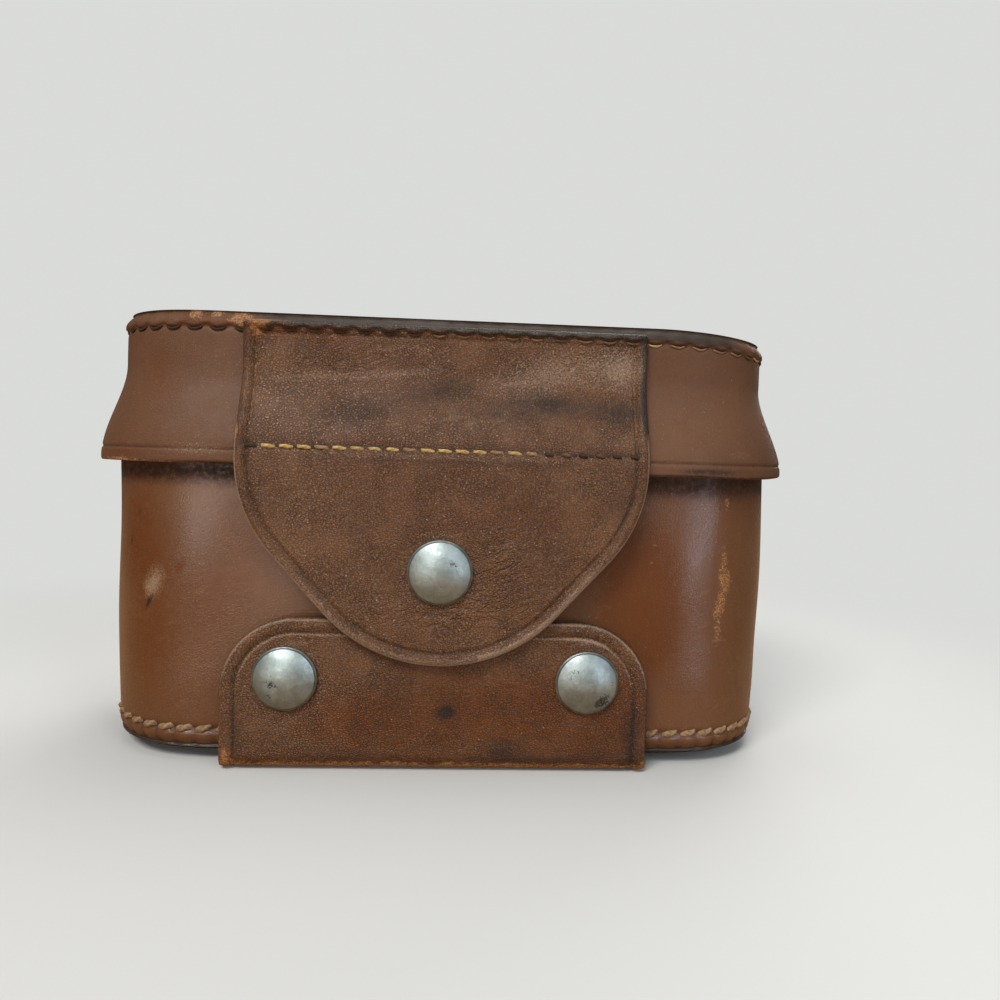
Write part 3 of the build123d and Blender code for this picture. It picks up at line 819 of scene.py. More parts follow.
def cornerPath(corners, radii, step):
    # A closed outline through corners, anticlockwise, each rounded by its own radius. With its points go their
    # inward normals, the room to move along these before the nearest corner's bisector, and the way on from it:
    # the corner's radius plus the distance from its arc, and the step that leaves both its sides equally fast.
    corners = np.array(corners, float)
    arcs, arcNormals, bisectors = [], [], []
    neighbours = np.roll(corners, 1, 0), corners, np.roll(corners, -1, 0)
    for before, here, after, radius in zip(*neighbours, radii):
        wayIn = (here - before) / np.linalg.norm(here - before)
        wayOut = (after - here) / np.linalg.norm(after - here)
        bend = math.atan2(wayIn[0] * wayOut[1] - wayIn[1] * wayOut[0], wayIn @ wayOut)
        side, nextSide = (np.array([-way[1], way[0]]) for way in (wayIn, wayOut))
        middle = here - wayIn * (radius * math.tan(bend / 2)) + side * radius
        sweep = np.linspace(0, bend, max(3, int(round(radius * abs(bend) / step))) + 1)[:, None]
        outward = -side * np.cos(sweep) + wayIn * np.sin(sweep)
        arcs.append(middle + outward * radius)
        arcNormals.append(-outward)
        bisectors.append((side + nextSide) / (1 + side @ nextSide))
    line, normals = [], []
    for arc, arcNormal, nextArc in zip(arcs, arcNormals, arcs[1:] + arcs[:1]):
        first, last = arc[-1], nextArc[0]
        steps = max(1, int(round(np.linalg.norm(last - first) / step)))
        share = np.linspace(0, 1, steps + 1)[1:-1, None]
        line += [arc, first + (last - first) * share]
        normals += [arcNormal, np.repeat(arcNormal[-1:], len(share), 0)]
    line = np.concatenate(line)
    room, onward = np.full(len(line), 1e3), np.zeros_like(line)
    for arc, radius, bisector in zip(arcs, radii, bisectors):
        here = radius + np.linalg.norm(line[:, None] - arc[None], axis=2).min(1)
        onward[here < room] = bisector
        room = np.minimum(room, here)
    return line, np.concatenate(normals), room, onward


flap = {
    "leather": 2.2,
    "centre": (panelLow[0] + panelHigh[0]) / 2,
    "halfWidth": (panelHigh[0] - panelLow[0]) / 2,
    "top": panelHigh[2],
    "tip": tongueLow[2],
    "sideAngle": 47.8,
    "tipRadius": 35.5,
    "shoulderRadius": 32.0,
    "tongueInner": -tongueHigh[1] - case["halfDepth"],
    "row": 73.3,
    "rim": {"width": 2.6, "rise": 0.58, "crease": 0.34},
    "step": 0.6,
    "waviness": 0.25,
    "snap": (-1.1, 46.4),
    "marks": {
        "dark": [(-2, 87, 10, 3.0, 10, 0.5), (24, 85, 11, 3.6, -8, 0.56), (40, 83.5, 6, 4, 0, 0.58),
                 (-20, 81.5, 12, 3.6, 8, 0.46), (-36, 83, 7, 4, 0, 0.3), (-34, 96, 5, 2.5, 0, 0.3),
                 (10, 82, 12, 3.4, 5, 0.42), (45.3, 94, 0.9, 4.5, 0, 0.55),
                 (38, 62, 6, 5, 0, 0.35), (0, 71, 42, 1.1, 0, 0.4), (-20, 66, 14, 2, 0, 0.2)],
        "warm": [(-42, 100, 5.5, 3.4, 20, 1.0), (-32, 99, 9, 2.8, -8, 0.7), (-45.5, 76, 1.6, 3, 0, 0.8),
                 (20, 60, 16, 6, 0, 0.3), (-12, 95, 14, 4, 0, 0.4), (18, 95, 12, 3, 0, 0.35),
                 (0, 60, 40, 5, 0, 0.2)],
        "tan": [(-43.5, 100.2, 3, 3, 30, 0.85), (-38, 102.2, 5, 1.1, 0, 0.85), (-46.3, 76.5, 0.8, 2, 0, 0.8),
                (-24, 103.3, 3.5, 0.6, 0, 0.9), (31, 41.5, 3.6, 0.8, 52, 0.7), (26, 36.5, 3, 0.6, 46, 0.5)],
        # pale: rubbed scuffs and pale creases; the broad patches on the upper right are painted sheen, and the
        # thin line along the top margin is a painted highlight
        "pale": [(-10, 96, 20, 2.5, 0, 0.2), (24, 92, 16, 5, 12, 0.52), (40, 93, 6, 5, 0, 0.5),
                 (-28, 89.5, 15, 1.6, 4, 0.35), (-8, 91.0, 10, 1.2, 8, 0.3), (-1.1, 54.8, 6, 1.0, 0, 0.3),
                 (0, 72, 46, 0.7, 0, 0.3), (14, 102, 14, 0.7, -2, 0.25)],
        "wrinkled": [(8, 38, 14, 3.5, 8, 1.0), (12, 48, 6, 8, 0, 0.9), (-14, 38, 9, 3, -10, 0.6),
                     (30, 95, 16, 6, 20, 0.6), (-25, 92, 16, 5, 0, 0.5)],
    },
}


def flapOut(z):
    # How far out the flap's inner face is: along the lid's flare above its lower edge, and upright below
    onLid = flare(z, case["skirtFront"]) + case["gap"]
    return np.where(z < case["flareStart"], flap["tongueInner"] + 0 * z, onLid)


def flapShape(flat, height, depth, rise):
    # The slab stands on flapOut, with its heights square to it. The cap presses a shallow ring into its outer
    # skin, small folds lie below the cap, the row of stitches is drawn in, and the top margin bulges.
    x, z = flat[..., 0], flat[..., 1]
    slope = flapOut(z + 0.5) - flapOut(z - 0.5)
    norm = np.sqrt(1 + slope**2)
    outside = outerShare(rise)
    spot = np.stack([x, 0 * x, z], -1)
    snapX, snapZ = flap["snap"]
    push = flap["waviness"] * rolling(spot, 30, 21) * smooth((z - 24) / 8) * smooth((103 - z) / 8)
    push = push - 0.30 * bump(np.hypot(x - snapX, z - snapZ), 8.2, 2.6)
    folds = np.sin((z - 41.5) * 2 * np.pi / 2.3 + 0.10 * (x - snapX) + 0.9 * np.sin(x / 4.0))
    push = push + 0.15 * folds * bump(z, 36.5, 2.8) * bump(x, snapX + 1, 13)
    inRow = np.abs(x - flap["centre"]) < flap["halfWidth"] - 1.4
    push = push - 0.35 * bump(z, flap["row"], 0.8) * inRow
    # arcs are the painted shadows under the top margin's scallops
    margin, arcs = seamMargin(x, z)
    lift = np.maximum(height + (push + margin) * outside, 0)
    points = np.stack([x, -(case["halfDepth"] + flapOut(z) + lift / norm), z - slope / norm * lift], -1)
    masks = marksOn(points, flap["marks"])
    width = flap["rim"]["width"]
    onLid = smooth((z - 75) / 4)
    dyed = smooth((2.4 - depth) / 1.2) * (0.36 + 0.46 * (x > 0))
    # Painted shade in the rim's crease; the pale on the rim's crest is partly rubbed wear and partly painted
    # highlight
    crease = 0.45 * bump(depth, width * 1.15, 0.4) * (1 - onLid)
    low = smooth((62 - z) / 25)  # the rim is rubbed pale round the tip
    rimWearAndHighlight = 1.1 * bump(depth, 0.25, 0.3) * (rise > 0.7)
    rimWearAndHighlight = rimWearAndHighlight + (0.55 + 0.3 * (x > 8)) * low * bump(depth, width * 0.42, 0.7)
    addTo(
        masks,
        edge=(1 - rise) * 0.9 + onLid * dyed + 0.85 * marginShare(z),
        dark=(0.5 * bump(z, flap["row"], 0.7) + arcs + crease) * outside,
        pale=rimWearAndHighlight * (1 - onLid) * outside,
    )
    return points, fleshSide(masks, rise)


def fleshSide(masks, rise):
    # The inner skin of a slab shows its fibres and none of the outer skin's marks
    outer = smooth(rise / 0.3)
    return {**{key: values * outer for key, values in masks.items()}, "flesh": 1 - outer}


def makeFlap():
    # The outline, anticlockwise seen from the front: straight top and sides, rounded shoulders, straight
    # slants and a round tip. Its middle line runs from under the top down to the middle of the tip's arc.
    look = flap
    slope = math.tan(math.radians(look["sideAngle"]))
    halfTip = math.radians(90 - look["sideAngle"])
    apex = look["tip"] - look["tipRadius"] * (1 / math.sin(halfTip) - 1)
    shoulder = apex + look["halfWidth"] * slope
    w = look["halfWidth"]
    corners = [(-w, look["top"]), (-w, shoulder), (0, apex), (w, shoulder), (w, look["top"])]
    radii = [1.0, look["shoulderRadius"], look["tipRadius"], look["shoulderRadius"], 1.0]
    path = cornerPath(corners, radii, look["step"])
    poleLow, poleHigh = look["tip"] + look["tipRadius"], look["top"] - 14
    targets = np.stack([0 * path[0][:, 0], np.clip(path[0][:, 1], poleLow, poleHigh)], -1)
    flat, height, depth, rise = slabGrid(path, targets, look, 7.0, 50)
    flat[..., 0] += look["centre"]
    points, masks = flapShape(flat, height, depth, rise)
    item = gridMesh("flap", points, masks)
    finishPiece(item, flapLeather, "flap_leather", None, "flap_panel", "flap_tongue")
    front = -(case["halfDepth"] + 5) * mm
    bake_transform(item)


strap = {
    "leather": 2.2,
    "centre": (leafLow[0] + leafHigh[0]) / 2,
    "halfWidth": (leafHigh[0] - leafLow[0]) / 2,
    "leafTop": leafHigh[2],
    "leafCorner": 17.0,
    "tabCorner": 3.0,
    "leafInner": -leafHigh[1] - case["halfDepth"],
    "rearInner": strapHigh[1] - 2.0,
    "rearTop": strapHigh[2],
    "underTop": 2.0,
    "bend": 0.6,
    "caps": (0.1, 34.25, 21.3),  # of the leaf: shift of their middle, distance to each side, height
    "rim": {"width": 2.9, "rise": 0.30, "crease": 0.30},
    "step": 0.75,
    "marks": {
        "dark": [(1.1, 13.8, 1.6, 1.2, 20, 1.0), (1.1, 13.8, 4.5, 3.0, 0, 0.35), (-40, 18, 3, 6, 0, 0.3),
                 (0, 2, 60, 1.4, 0, 0.5), (44, 10, 3, 9, 0, 0.55), (14, 8, 8, 3, 0, 0.25),
                 (14, 5.2, 6, 2, 0, 0.45), (30, 3.6, 18, 1.5, 3, 0.35), (-22, 4.2, 15, 1.8, 0, 0.4),
                 (-46, 9, 1.6, 7, 0, 0.4)],
        "warm": [(12, 14, 28, 11, 0, 1.0), (-20, 11, 15, 7, 0, 0.7), (37, 13, 11, 12, 0, 0.9)],
        "tan": [(-48.5, 3.4, 1.3, 2.6, 0, 0.7), (47.5, 3, 1.2, 2.4, 0, 0.6), (41, 27, 1.5, 0.5, -50, 0.4),
                (0, 1.3, 50, 0.7, 0, 0.5)],
        "pale": [(-2.2, 15.6, 1.6, 0.8, 20, 0.25), (-34, 29.2, 7, 1.0, 0, 0.25), (34, 30.5, 7, 1.0, -8, 0.4)],
    },
}


def strapPath(w):
    # Along the strap's inner face, from the top of the rear tab (w = 0), down, under the base and up the
    # front: straight runs joined by quarter turns, as place (y, z) and outward direction in the YZ plane
    radius, low, rear = strap["bend"], strap["underTop"], strap["rearInner"]
    front = -(case["halfDepth"] + strap["leafInner"])
    arc = radius * math.pi / 2
    runs = [strap["rearTop"] - low - radius, rear - front - 2 * radius, strap["leafTop"] - low - radius]
    knots = np.cumsum([0, runs[0], arc, runs[1], arc, runs[2]])
    y = np.interp(w, knots, [rear, rear, rear - radius, front + radius, front, front])
    z = np.interp(w, knots, [strap["rearTop"], low + radius, low, low, low + radius, strap["leafTop"]])
    angle = np.interp(w, knots, np.radians([0, 0, -90, -90, -180, -180]))
    turning = ((w > knots[1]) & (w < knots[2])) | ((w > knots[3]) & (w < knots[4]))
    middle = np.where(w < knots[2], rear - radius, front + radius)
    y = np.where(turning, middle + radius * np.cos(angle), y)
    z = np.where(turning, low + radius + radius * np.sin(angle), z)
    return y, z, angle, knots


def makeStrap():
    # One strip of leather: its flat outline has two rounded corners at the leaf's end, and strapPath bends it
    look = strap
    total = strapPath(0.0)[3][-1]
    w = look["halfWidth"]
    corners = [(-w, 0), (w, 0), (w, total), (-w, total)]
    path = cornerPath(corners, [look["tabCorner"]] * 2 + [look["leafCorner"]] * 2, look["step"])
    targets = np.stack([0 * path[0][:, 0], np.clip(path[0][:, 1], 14.0, total - 17.5)], -1)
    flat, height, depth, rise = slabGrid(path, targets, look, 7.0, 50)
    x, along = flat[..., 0] + look["centre"], flat[..., 1]
    y, z, angle, knots = strapPath(along)
    outside, onLeaf = outerShare(rise), along > knots[4]
    under = (along > knots[2]) & (along < knots[3])
    thick = np.where(along < knots[3], look["underTop"], look["leather"])
    push = 0.2 * rolling(np.stack([x, y, z], -1), 26, 31) * (along > knots[4] + 4)
    shift, apart, capZ = look["caps"]
    for way in (-1, 1):
        away = np.hypot(x - (look["centre"] + shift + way * apart), z - capZ)
        push = push - 0.25 * bump(away, 8.2, 2.4) * onLeaf
    lift = np.minimum(height, look["leather"] + (~under) * 1.0) / look["leather"] * thick + push * outside
    lift = np.where(under, np.minimum(lift, look["underTop"]), lift)
    y, z = y + lift * np.cos(angle), np.maximum(z + lift * np.sin(angle), 0.0)
    points = np.stack([x, y, z], -1)
    masks = marksOn(points, look["marks"])
    up = smooth((z - 16) / 10)
    inside = look["rim"]["width"] * 1.15
    rimWearAndHighlight = 0.7 * bump(depth, 0.4, 0.4) * (rise > 0.7) * (0.25 + 0.75 * up)
    rimWearAndHighlight = rimWearAndHighlight + 0.55 * bump(depth, inside + 0.45, 0.3) * up
    # pale: partly rubbed wear and partly painted highlights on the rim's crest and just inside its crease;
    # dark: painted shade in the crease
    addTo(
        masks,
        edge=(1 - rise) * 0.9 + 0.5 * bump(depth, 0, 1.0) * (x > 30),
        tan=0.8 * bump(z, 0.5, 1.6) * (y < -30),  # worn along the front fold
        warm=0.8 * bump(z, 2.0, 1.8) * (y < -30),
        pale=rimWearAndHighlight * outside * onLeaf,
        dark=0.4 * bump(depth, inside, 0.35) * outside * onLeaf,
    )
    item = gridMesh("strap", points, fleshSide(masks, rise))
    finishPiece(item, flapLeather, "flap_leather", None, "base_strap", "front_leaf")
    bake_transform(item)


hingeStrip = {
    "leather": 2.0,
    "halfWidth": hingeHigh[0],
    "low": hingeLow[2],
    "high": upperHigh[2],
    "inner": hingeLow[1],
    "corner": 6.0,
    "step": 0.9,
    "rim": {"width": 1.8, "rise": 0.0, "crease": 0.15},
    "rows": (3.2, 15.8),  # rows of stitches above and below the hinge line
}


def makeHingeStrip():
    # A flat slab with a groove along the hinge line and a shallow one along each row of stitches
    look = hingeStrip
    w, low, high, line = look["halfWidth"], look["low"], look["high"], lidAxis[2]
    path = cornerPath([(-w, low), (w, low), (w, high), (-w, high)], [look["corner"]] * 4, look["step"])
    targets = np.stack([np.clip(path[0][:, 0], -w + 14, w - 14), 0 * path[0][:, 1] + (low + high) / 2], -1)
    flat, height, depth, rise = slabGrid(path, targets, look, 4.5, 24)
    x, z = flat[..., 0], flat[..., 1]
    push = 0.15 * rolling(np.stack([x, 0 * x, z], -1), 24, 41) - 0.35 * bump(z, line, 1.1)
    for row in look["rows"]:
        push = push - 0.22 * (bump(z, line - row, 0.7) + bump(z, line + row, 0.7))
    lift = np.minimum(height + push * outerShare(rise), look["leather"])
    points = np.stack([x, look["inner"] + lift, z], -1)
    masks = {"edge": 0.8 * bump(depth, 0, 0.9), "tan": 0.3 * bump(depth, 0.6, 0.6)}
    addTo(masks, dark=0.5 * bump(z, line, 1.6), pale=0.25 * bump(z, line, 3.0))
    item = gridMesh("hingeStrip", points, masks)
    finishPiece(item, flapLeather, "flap_leather", None, "rear_hinge_lower", "rear_hinge_upper")
    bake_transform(item)


makeFlap()
makeStrap()
makeHingeStrip()
print("stage: flap, strap and hinge strip")


# Thread

thread = {
    "radius": 0.40,
    "dark": (0.040, 0.023, 0.014),
    "gold": (0.60, 0.41, 0.15),
    "beige": (0.34, 0.21, 0.115),
    "points": (9, 8),  # along and around one stitch
    # stitches of the top seam that still shine through: x and tone
    "golden": [(12.4, 0.42), (22, 0.55), (32.5, 0.5), (38, 0.4), (47.5, 0.95), (74, 0.8)],
    "rowEnd": 3.2,  # distance of a row's end from the leather's edge
}


def threadMaterial():
    # Waxed two-ply thread: brown to gold by the stitch's own tone, with painted shade in the dip between the
    # plies and on the hole beads
    made, tree, shader = newMaterial("waxedThread")
    place = inMillimetres(tree)
    tone = mask(tree, "tone")
    dirt = noise(place, 0.6, 4.0, 0.7)
    colour = mixColour(tone.ease(0.1, 0.55), thread["dark"], thread["beige"])
    colour = mixColour(tone.ease(0.6, 0.95), colour, thread["gold"])
    colour = mixColour(dirt.ease(0.42, 0.7) * 0.45, colour, thread["dark"])
    colour = mixColour(mask(tree, "dipShade") * 0.6, colour, thread["dark"])
    setInputs(tree, shader, {"Base Color": colour, "Specular IOR Level": 0.2})
    setInputs(tree, shader, {"Roughness": dirt.ease(0.3, 0.7, 0.6, 0.85)})
    setInputs(tree, shader, {"Normal": relief(noise(place, 0.16, 2.0, 0.6), 0.08)})
    return made


waxedThread = threadMaterial()


def stitchPiece(name, row, tones, body, slotName, node, sunk, thickness=1.0, slant=0.0, droop=0.0, holes=True):
    # Each stitch is a round thread that rises from one hole, lies on the leather and dips into the next. Its
    # section swells twice round, and the swelling turns along the thread, as two plies do. The two ends shrink
    # to a point inside the leather. A dark, nearly flat bead at each hole is a painted shadow of the hole. All
    # of
    # them are worked out at once: stitch, along, around.
    places, ways, outs, lengths, step = row
    flat = 0 * lengths
    starts = places - outs * sunk
    if holes:
        starts = np.concatenate([starts, places + ways * step / 2])
        ways, outs = np.tile(ways, (2, 1)), np.tile(outs, (2, 1))
        tones, flat = np.concatenate([tones, 0 * tones]), np.concatenate([flat, flat + 1])
        lengths = np.concatenate([lengths, 0 * lengths + 1.25])
    flat = flat[:, None, None]
    alongCount, aroundCount = thread["points"]
    share = np.linspace(-1, 1, alongCount)[None, :, None]
    around = (np.arange(aroundCount) * 2 * np.pi / aroundCount)[None, None, :]
    radius = thread["radius"] * thickness
    lift = radius * (0.95 - 2.6 * np.abs(share) ** 5) * (1 - flat)
    taper = np.where(np.abs(share) > 0.99, 0.0, np.sqrt(1 - np.abs(share) ** 3 * 0.8))
    ply = 1 + 0.16 * np.cos(2 * around + share * 6.5 + tones[:, None, None] * 9)
    section = radius * taper * ply
    outPart = lift + section * np.cos(around) * (1 - 0.75 * flat)
    sidePart = section * np.sin(around) + (slant * share * radius + droop * (1 - share**2)) * (1 - flat)
    alongPart = share * lengths[:, None, None] / 2
    points = starts[:, None, None, :]
    for directions, part in ((ways, alongPart), (outs, outPart), (np.cross(ways, outs), sidePart)):
        points = points + directions[:, None, None, :] * part[..., None]
    one = np.arange(alongCount * aroundCount).reshape(alongCount, aroundCount)
    faces = (gridFaces(one)[None] + (np.arange(len(starts)) * one.size)[:, None, None]).reshape(-1, 4)
    dipShade = np.clip(smooth((1.02 - ply + 0 * section) / 0.16) + flat, 0, 1)
    masks = {"tone": np.repeat(tones, one.size), "dipShade": dipShade}
    item = faceMesh(name, settle(points).reshape(-1, 3), faces, masks)
    finishPiece(item, waxedThread, slotName, body, node)


def ringStitches(pitch, z, insets, share):
    # Stitches round the plan: places, ways along the seam, ways out of the leather, lengths and pitch
    total = outlineKnots()[-1]
    count = stitchCount(pitch, insets[0])
    step = (total + 2 * math.pi * insets[0]) / count
    x, y, direction = ringPoint((np.arange(count) + 0.5) * total / count, *insets)
    outs = np.stack([np.cos(direction), np.sin(direction), 0 * x], -1)
    ways = np.stack([-np.sin(direction), np.cos(direction), 0 * x], -1)
    return np.stack([x, y, z + 0 * x], -1), ways, outs, np.full(count, step * share), step


def rowStitches(centre, halfLength, y, z, away=(0, 1.0, 0)):
    # The same for a straight row along X
    count = int(round(2 * halfLength / case["rowPitch"]))
    step = 2 * halfLength / count
    x = centre - halfLength + (np.arange(count) + 0.5) * step
    places = np.stack([x, y + 0 * x, z + 0 * x], -1)
    return places, np.tile([1.0, 0.0, 0.0], (count, 1)), np.tile(away, (count, 1)), np.full(count, step), step


def makeStitches():
    random = np.random.default_rng(5)
    row = ringStitches(case["basePitch"], case["baseSeam"], (0, 0, 0), 1.04)
    tones = random.uniform(0.45, 0.66, len(row[0]))
    light, dark = "thread_light", "thread_dark"
    stitchPiece("baseStitches", row, tones, "body", light, "base_stitching", 1.45, 2.0, -0.75, holes=False)

    inset = -case["inset"]
    row = ringStitches(case["topPitch"], case["topSeam"] + 0.1, (inset, inset, 0), 0.80)
    places = row[0]
    onFlap = (np.abs(places[:, 0] - flap["centre"]) < flap["halfWidth"]) & (places[:, 1] < 0)
    places += row[2] * np.where(onFlap, flap["leather"] + case["gap"], 0.0)[:, None]
    shining = smooth((places[:, 0] + 14) / 14) * (places[:, 1] < 0)  # the thread shows more on the right
    tones = random.uniform(0.05, 0.20, len(places)) + shining * random.uniform(0.1, 0.45, len(places))
    for x, tone in thread["golden"]:
        tones[np.argmin(np.abs(places[:, 0] - x) + 100 * (places[:, 1] > 0))] = tone
    stitchPiece("topStitches", row, tones, "lid", dark, "top_stitching", 0.28, 0.72, droop=0.80, holes=False)

    height = flap["row"]
    slope = float(flapOut(height + 0.5) - flapOut(height - 0.5))
    away = np.array([0.0, -1.0, -slope]) / math.hypot(1, slope)
    face = -(case["halfDepth"] + flapOut(height) + flap["leather"] - 0.32)
    row = rowStitches(flap["centre"], flap["halfWidth"] - 1.6, face, height, away)
    worn = smooth((row[0][:, 0] - 17) / 3)  # on the right the thread is worn down and dark
    tones = random.uniform(0.82, 1.0, len(worn)) * (1 - worn) + random.uniform(0.0, 0.3, len(worn)) * worn
    tones[[0, 4, 9, 14, 16]] = 0.05, 0.66, 0.62, 0.60, 0.66
    row[0][:] -= row[2] * (worn * 0.2)[:, None]
    row[3][:] *= 1 - 0.35 * worn
    stitchPiece("flapStitches", row, tones, "lid", light, "flap_stitching", 0.10, 1.1, 0.4)

    end = thread["rowEnd"]
    row = rowStitches(strap["centre"], strap["halfWidth"] - end, strapHigh[1], strap["rearTop"] - end)
    tones = random.uniform(0.3, 0.6, len(row[0]))
    stitchPiece("strapStitches", row, tones, "body", light, "strap_stitching", 0.22)

    face, halfWidth = hingeStrip["inner"] + hingeStrip["leather"], hingeStrip["halfWidth"]
    near, far = hingeStrip["rows"]
    for side, body, sign in (("lower", "body", -1), ("upper", "lid", 1)):
        first = rowStitches(0, halfWidth - end, face, lidAxis[2] + sign * near)
        second = rowStitches(0, halfWidth - hingeStrip["corner"], face, lidAxis[2] + sign * far)
        row = [np.concatenate(pair) for pair in zip(first[:4], second[:4])] + [first[4]]
        tones = random.uniform(0.3, 0.6, len(row[0]))
        stitchPiece(f"{side}HingeStitches", row, tones, body, light, f"{side}_hinge_stitching", 0.22)


makeStitches()
print("stage: stitches")


# Snap fasteners


def nickelMaterial():
    # Worn nickel plate: satin, clouded, with dark pits and thin scratches, duller where the "worn" mask says
    made, tree, shader = newMaterial("wornNickel")
    place = inMillimetres(tree)
    worn = mask(tree, "worn")
    clouds = noise(place, 3.2, 5.0, 0.7, 0.4).ease(0.3, 0.72)
    pits = (noise(place, 0.42, 3.0, 0.6) + worn * 0.20).ease(0.70, 0.76)
    patch = (noise(place, 1.0, 6.0, 0.8, 0.8) + worn * 0.26).ease(0.66, 0.76)
    scratchPlace = inMillimetres(tree, (1.0, 1.0, 0.07), (0.0, 0.6, 0.0))
    scratches = noise(scratchPlace, 0.22, 2.0, 0.5).ease(0.66, 0.72)
    colour = mixColour(clouds, (0.275, 0.325, 0.32), (0.405, 0.472, 0.470))
    colour = mixColour(patch * 0.85, colour, (0.10, 0.085, 0.06))
    colour = mixColour(pits, colour, (0.05, 0.045, 0.04))
    colour = mixColour(scratches * 0.25, colour, (0.62, 0.64, 0.63))
    rough = noise(place, 2.0, 4.0, 0.7).ease(0.3, 0.7, 0.42, 0.54) + (patch + pits) * 0.2
    setInputs(tree, shader, {"Base Color": colour, "Metallic": 1.0, "Roughness": rough.clamped()})
    height = noise(place, 0.9, 3.0, 0.6) * 0.05 - pits * 0.08 - patch * 0.03
    setInputs(tree, shader, {"Normal": relief(height)})
    return made


def metalMaterial(name, dark, light, roughness):
    # Plain dull metal, clouded between two tones, with small dark spots
    made, tree, shader = newMaterial(name)
    place = inMillimetres(tree)
    clouds = noise(place, 1.8, 5.0, 0.7, 0.5).ease(0.3, 0.7)
    spots = noise(place, 0.35, 2.0, 0.6).ease(0.62, 0.7)
    colour = mixColour(spots * 0.5, mixColour(clouds, dark, light), tuple(c * 0.3 for c in dark))
    setInputs(tree, shader, {"Base Color": colour, "Metallic": 1.0})
    setInputs(tree, shader, {"Roughness": clouds.ease(0, 1, roughness + 0.1, roughness)})
    setInputs(tree, shader, {"Normal": relief(noise(place, 0.25, 3.0, 0.6), 0.03)})
    return made


wornNickel = nickelMaterial()
dullBrass = metalMaterial("dullBrass", (0.26, 0.17, 0.07), (0.56, 0.42, 0.20), 0.36)
springSteel = metalMaterial("springSteel", (0.25, 0.25, 0.25), (0.48, 0.48, 0.48), 0.32)

snap = {
    "radius": 7.3,
    "rim": 0.7,
    "rise": 2.3,
    "barrel": 2.2,
    "curl": 0.42,  # radius of the rim's edge
    "around": 72,
    "caps": [
        # name, node, body, dent as (x, z, half size, depth), worn places as (x, z, half size, strength)
        ("centreCap", "flap_snap_cap", "flap", (3.0, 2.1, 1.2, 0.10),
         [(3.0, 2.1, 1.0, 0.75), (4.0, -2.0, 2.0, 0.2), (-0.8, -5.6, 2.4, 0.35), (0, 4, 2, 0.2)]),
        ("leftCap", "left_leaf_cap", "leaf", (-2.4, -1.2, 1.3, 0.10),
         [(-2.5, -1.0, 1.4, 0.85), (-3.3, -3.8, 1.6, 0.6), (0.5, -4.5, 2.2, 0.4)]),
        ("rightCap", "right_leaf_cap", "leaf", (3.6, -3.4, 1.7, 0.12),
         [(3.9, -3.5, 1.7, 1.1), (2.6, -4.6, 1.2, 0.9), (-3.6, 2.4, 2.2, 0.4), (5.8, 0.5, 1.0, 0.6),
          (-1, 0, 2, 0.2)]),
    ],
}


def makeCap(name, node, body, dent, wornPlaces):
    # A profile turned about the cap's axis: barrel, flat underside, curled rim, shallow dome
    r, rim, rise, barrel, edge = (snap[key] for key in ("radius", "rim", "rise", "barrel", "curl"))
    low, high = nodeBox(node)
    x0, z0 = (low[0] + high[0]) / 2, (low[2] + high[2]) / 2
    face = low[1] + rim + rise
    depth = high[1] - face
    ball = (r * r + rise * rise) / (2 * rise)
    domeRadius = np.linspace(r - 0.25, 0, 22)
    dome = rim + np.sqrt(ball**2 - domeRadius**2) - (ball - rise)
    curl = np.linspace(-0.5 * np.pi, 0.42 * np.pi, 9)
    radii = np.concatenate([[0, 1.2, barrel, barrel, r - 0.55], r - edge + edge * np.cos(curl), domeRadius])
    out = np.concatenate([[-depth, -depth, 0.1 - depth, 0, 0], edge + edge * np.sin(curl), dome])
    radii, out = radii[:, None], out[:, None]
    around = (np.arange(snap["around"]) * 2 * np.pi / snap["around"])[None, :]
    x, z = radii * np.cos(around), radii * np.sin(around)
    onDome = (np.arange(len(radii)) >= len(radii) - len(dome))[:, None]
    out = out - dent[3] * np.exp(-((x - dent[0]) ** 2 + (z - dent[1]) ** 2) / dent[2] ** 2) * onDome
    worn = sum(s * np.exp(-((x - a) ** 2 + (z - b) ** 2) / h**2) for a, b, h, s in wornPlaces)
    item = gridMesh(name, np.stack([x0 + x, face - out, z0 + z], -1), {"worn": np.clip(worn, 0, 1)})
    finishPiece(item, wornNickel, "snap_nickel", body, node)


for cap in snap["caps"]:
    makeCap(*cap)

# The fasteners' inner parts are shown as they are, each in its metal
for part, metal in (("socket", dullBrass), ("stud", dullBrass), ("post", dullBrass), ("spring", springSteel)):
    for node in (f"flap_snap_{part}", f"leaf_snap_{part}s"):
        materials = frame["nodes"][node].data.materials
        materials.clear()
        materials.append(metal)
print("stage: snap fasteners")


# Lining and pads

lining = {
    "step": 1.25,
    "body": {"thickness": 1.4, "corner": 0.6, "rows": 24, "straightBelow": 40.0},
    "lid": {"thickness": 1.2, "corner": 0.5, "rows": 10},
    "padStep": 1.6,
    "padCrown": ((0.2, 0.3), (0.8, 0.55), (2.0, 0.8), (4.0, 0.92), (9.0, 1.0)),  # how far in, share of height
    "padPlay": 2.1,  # distance from the wall's inner face
}


def flockMaterial():
    # Flocked cloth: tan, with soft sheen, rubbed patches and a very short pile
    made, tree, shader = newMaterial("flockedCloth")
    place = inMillimetres(tree)
    clouds = noise(place, 18.0, 4.0, 0.6).ease(0.3, 0.7)
    pile = noise(place, 0.28, 3.0, 0.7)
    grime = noise(place, 7.0, 5.0, 0.7).ease(0.52, 0.75)
    colour = mixColour(clouds, (0.20, 0.125, 0.066), (0.29, 0.195, 0.115))
    colour = mixColour(pile.ease(0.35, 0.65, 0.0, 0.4), colour, (0.12, 0.07, 0.035))
    colour = mixColour(grime * 0.45, colour, (0.08, 0.05, 0.03))
    constants = {"Roughness": 0.95, "Sheen Weight": 0.25, "Specular IOR Level": 0.2}
    setInputs(tree, shader, {"Base Color": colour, "Normal": relief(pile, 0.12), **constants})
    return made


flockedCloth = flockMaterial()


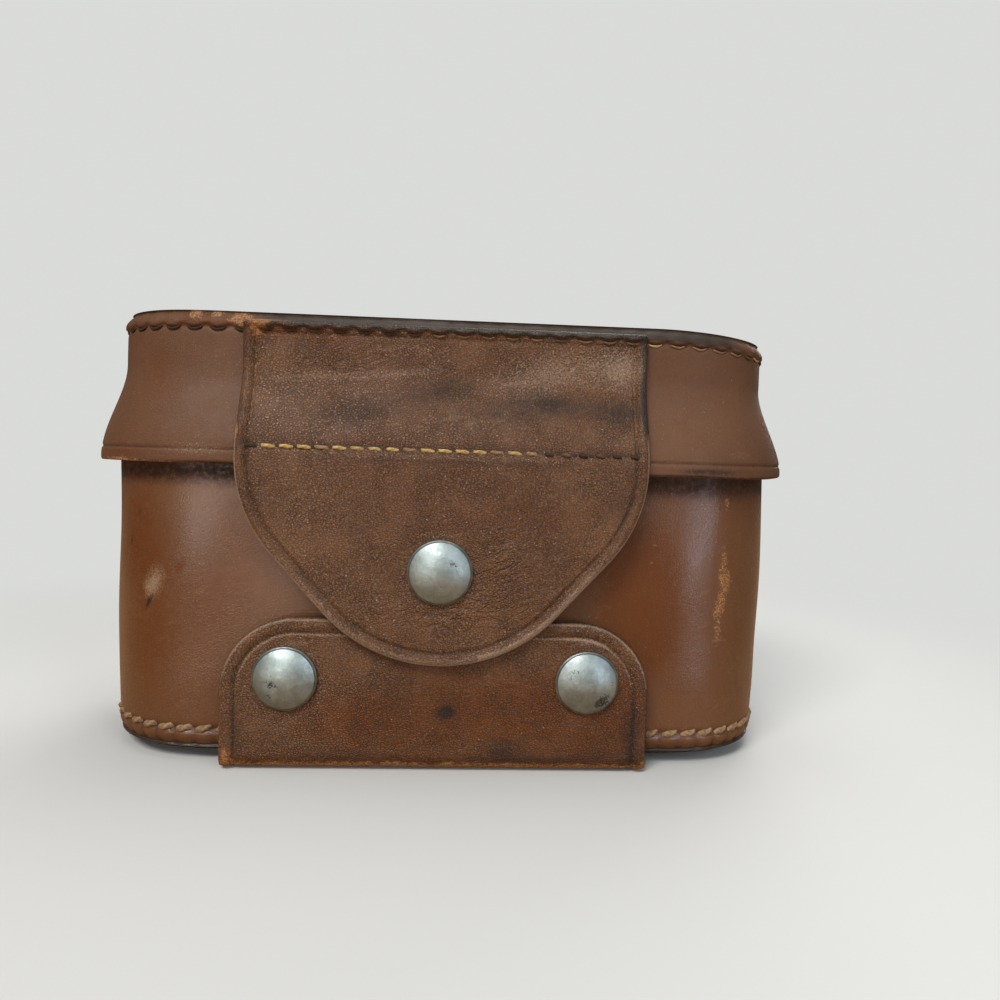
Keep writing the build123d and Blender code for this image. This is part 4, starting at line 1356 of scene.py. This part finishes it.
def liningProfile(node, look):
    # A wall's profile, thinner, against the leather's inner face
    low, top = (place[2] for place in nodeBox(node))
    outer = np.linspace(low + look["corner"], top - look["corner"], look["rows"])[:-1]
    height, inward = wallProfile(outer, outer[::-1], low, top, look["thickness"], look["corner"])
    return height, inward + case["wall"] + case["gap"], top


def makeLining(name, node, body, ring, z):
    item = gridMesh(name, np.stack([ring[0] + 0 * z, ring[1] + 0 * z, z + 0 * ring[0]], -1), closedRows=True)
    finishPiece(item, flockedCloth, "lining_board", body, node)


def makeBodyLining():
    # Taller than the wall, with its top edge falling to the height of the wall towards the rear
    along = ringPath(lining["step"])
    height, inward, top = liningProfile("body_lining", lining["body"])
    ringY = ringPoint(along, 0.0, 0.0, 0.0)[1]
    topHere = top - np.maximum(top - wallTopAt(ringY), 0) * smooth((ringY - case["rearSlopeStart"] + 7) / 7)
    z = followTop(height, top, topHere, lining["body"]["straightBelow"])
    makeLining("bodyLining", "body_lining", "body", ringPoint(along, -inward, -inward, -inward), z)


def makeLidLining():
    z, inward, top = liningProfile("lid_lining", lining["lid"])
    side, front = (flare(z, case[skirt]) - inward for skirt in ("skirtSide", "skirtFront"))
    makeLining("lidLining", "lid_lining", "lid", ringPoint(ringPath(lining["step"]), side, front, -inward), z)


def makePad(name, node, body, insets, faceUp):
    # A thin felt pad: flat where it lies, crowned on its free side, with drawn-in edges
    low, high = (place[2] for place in nodeBox(node))
    flatZ, freeZ = (low, high) if faceUp else (high, low)
    crown = [(inward, flatZ + (freeZ - flatZ) * share) for inward, share in lining["padCrown"]]
    free = fanGrid(insets, crown, lining["padStep"])[0]
    flat = fanGrid(insets, [(0.3, flatZ), (4.0, flatZ), (9.0, flatZ)], lining["padStep"])[0]
    item = gridMesh(name, np.concatenate([flat[::-1], free]))
    finishPiece(item, flockedCloth, "lining_board", body, node)


makeBodyLining()
makeLidLining()
padIn = -(case["wall"] + lining["padPlay"])
lidPadIn = padIn - case["inset"]
makePad("basePad", "base_pad", "body", (padIn, padIn, padIn), True)
makePad("topPad", "top_pad", "lid", (lidPadIn, lidPadIn, padIn), False)
print("stage: lining and pads")
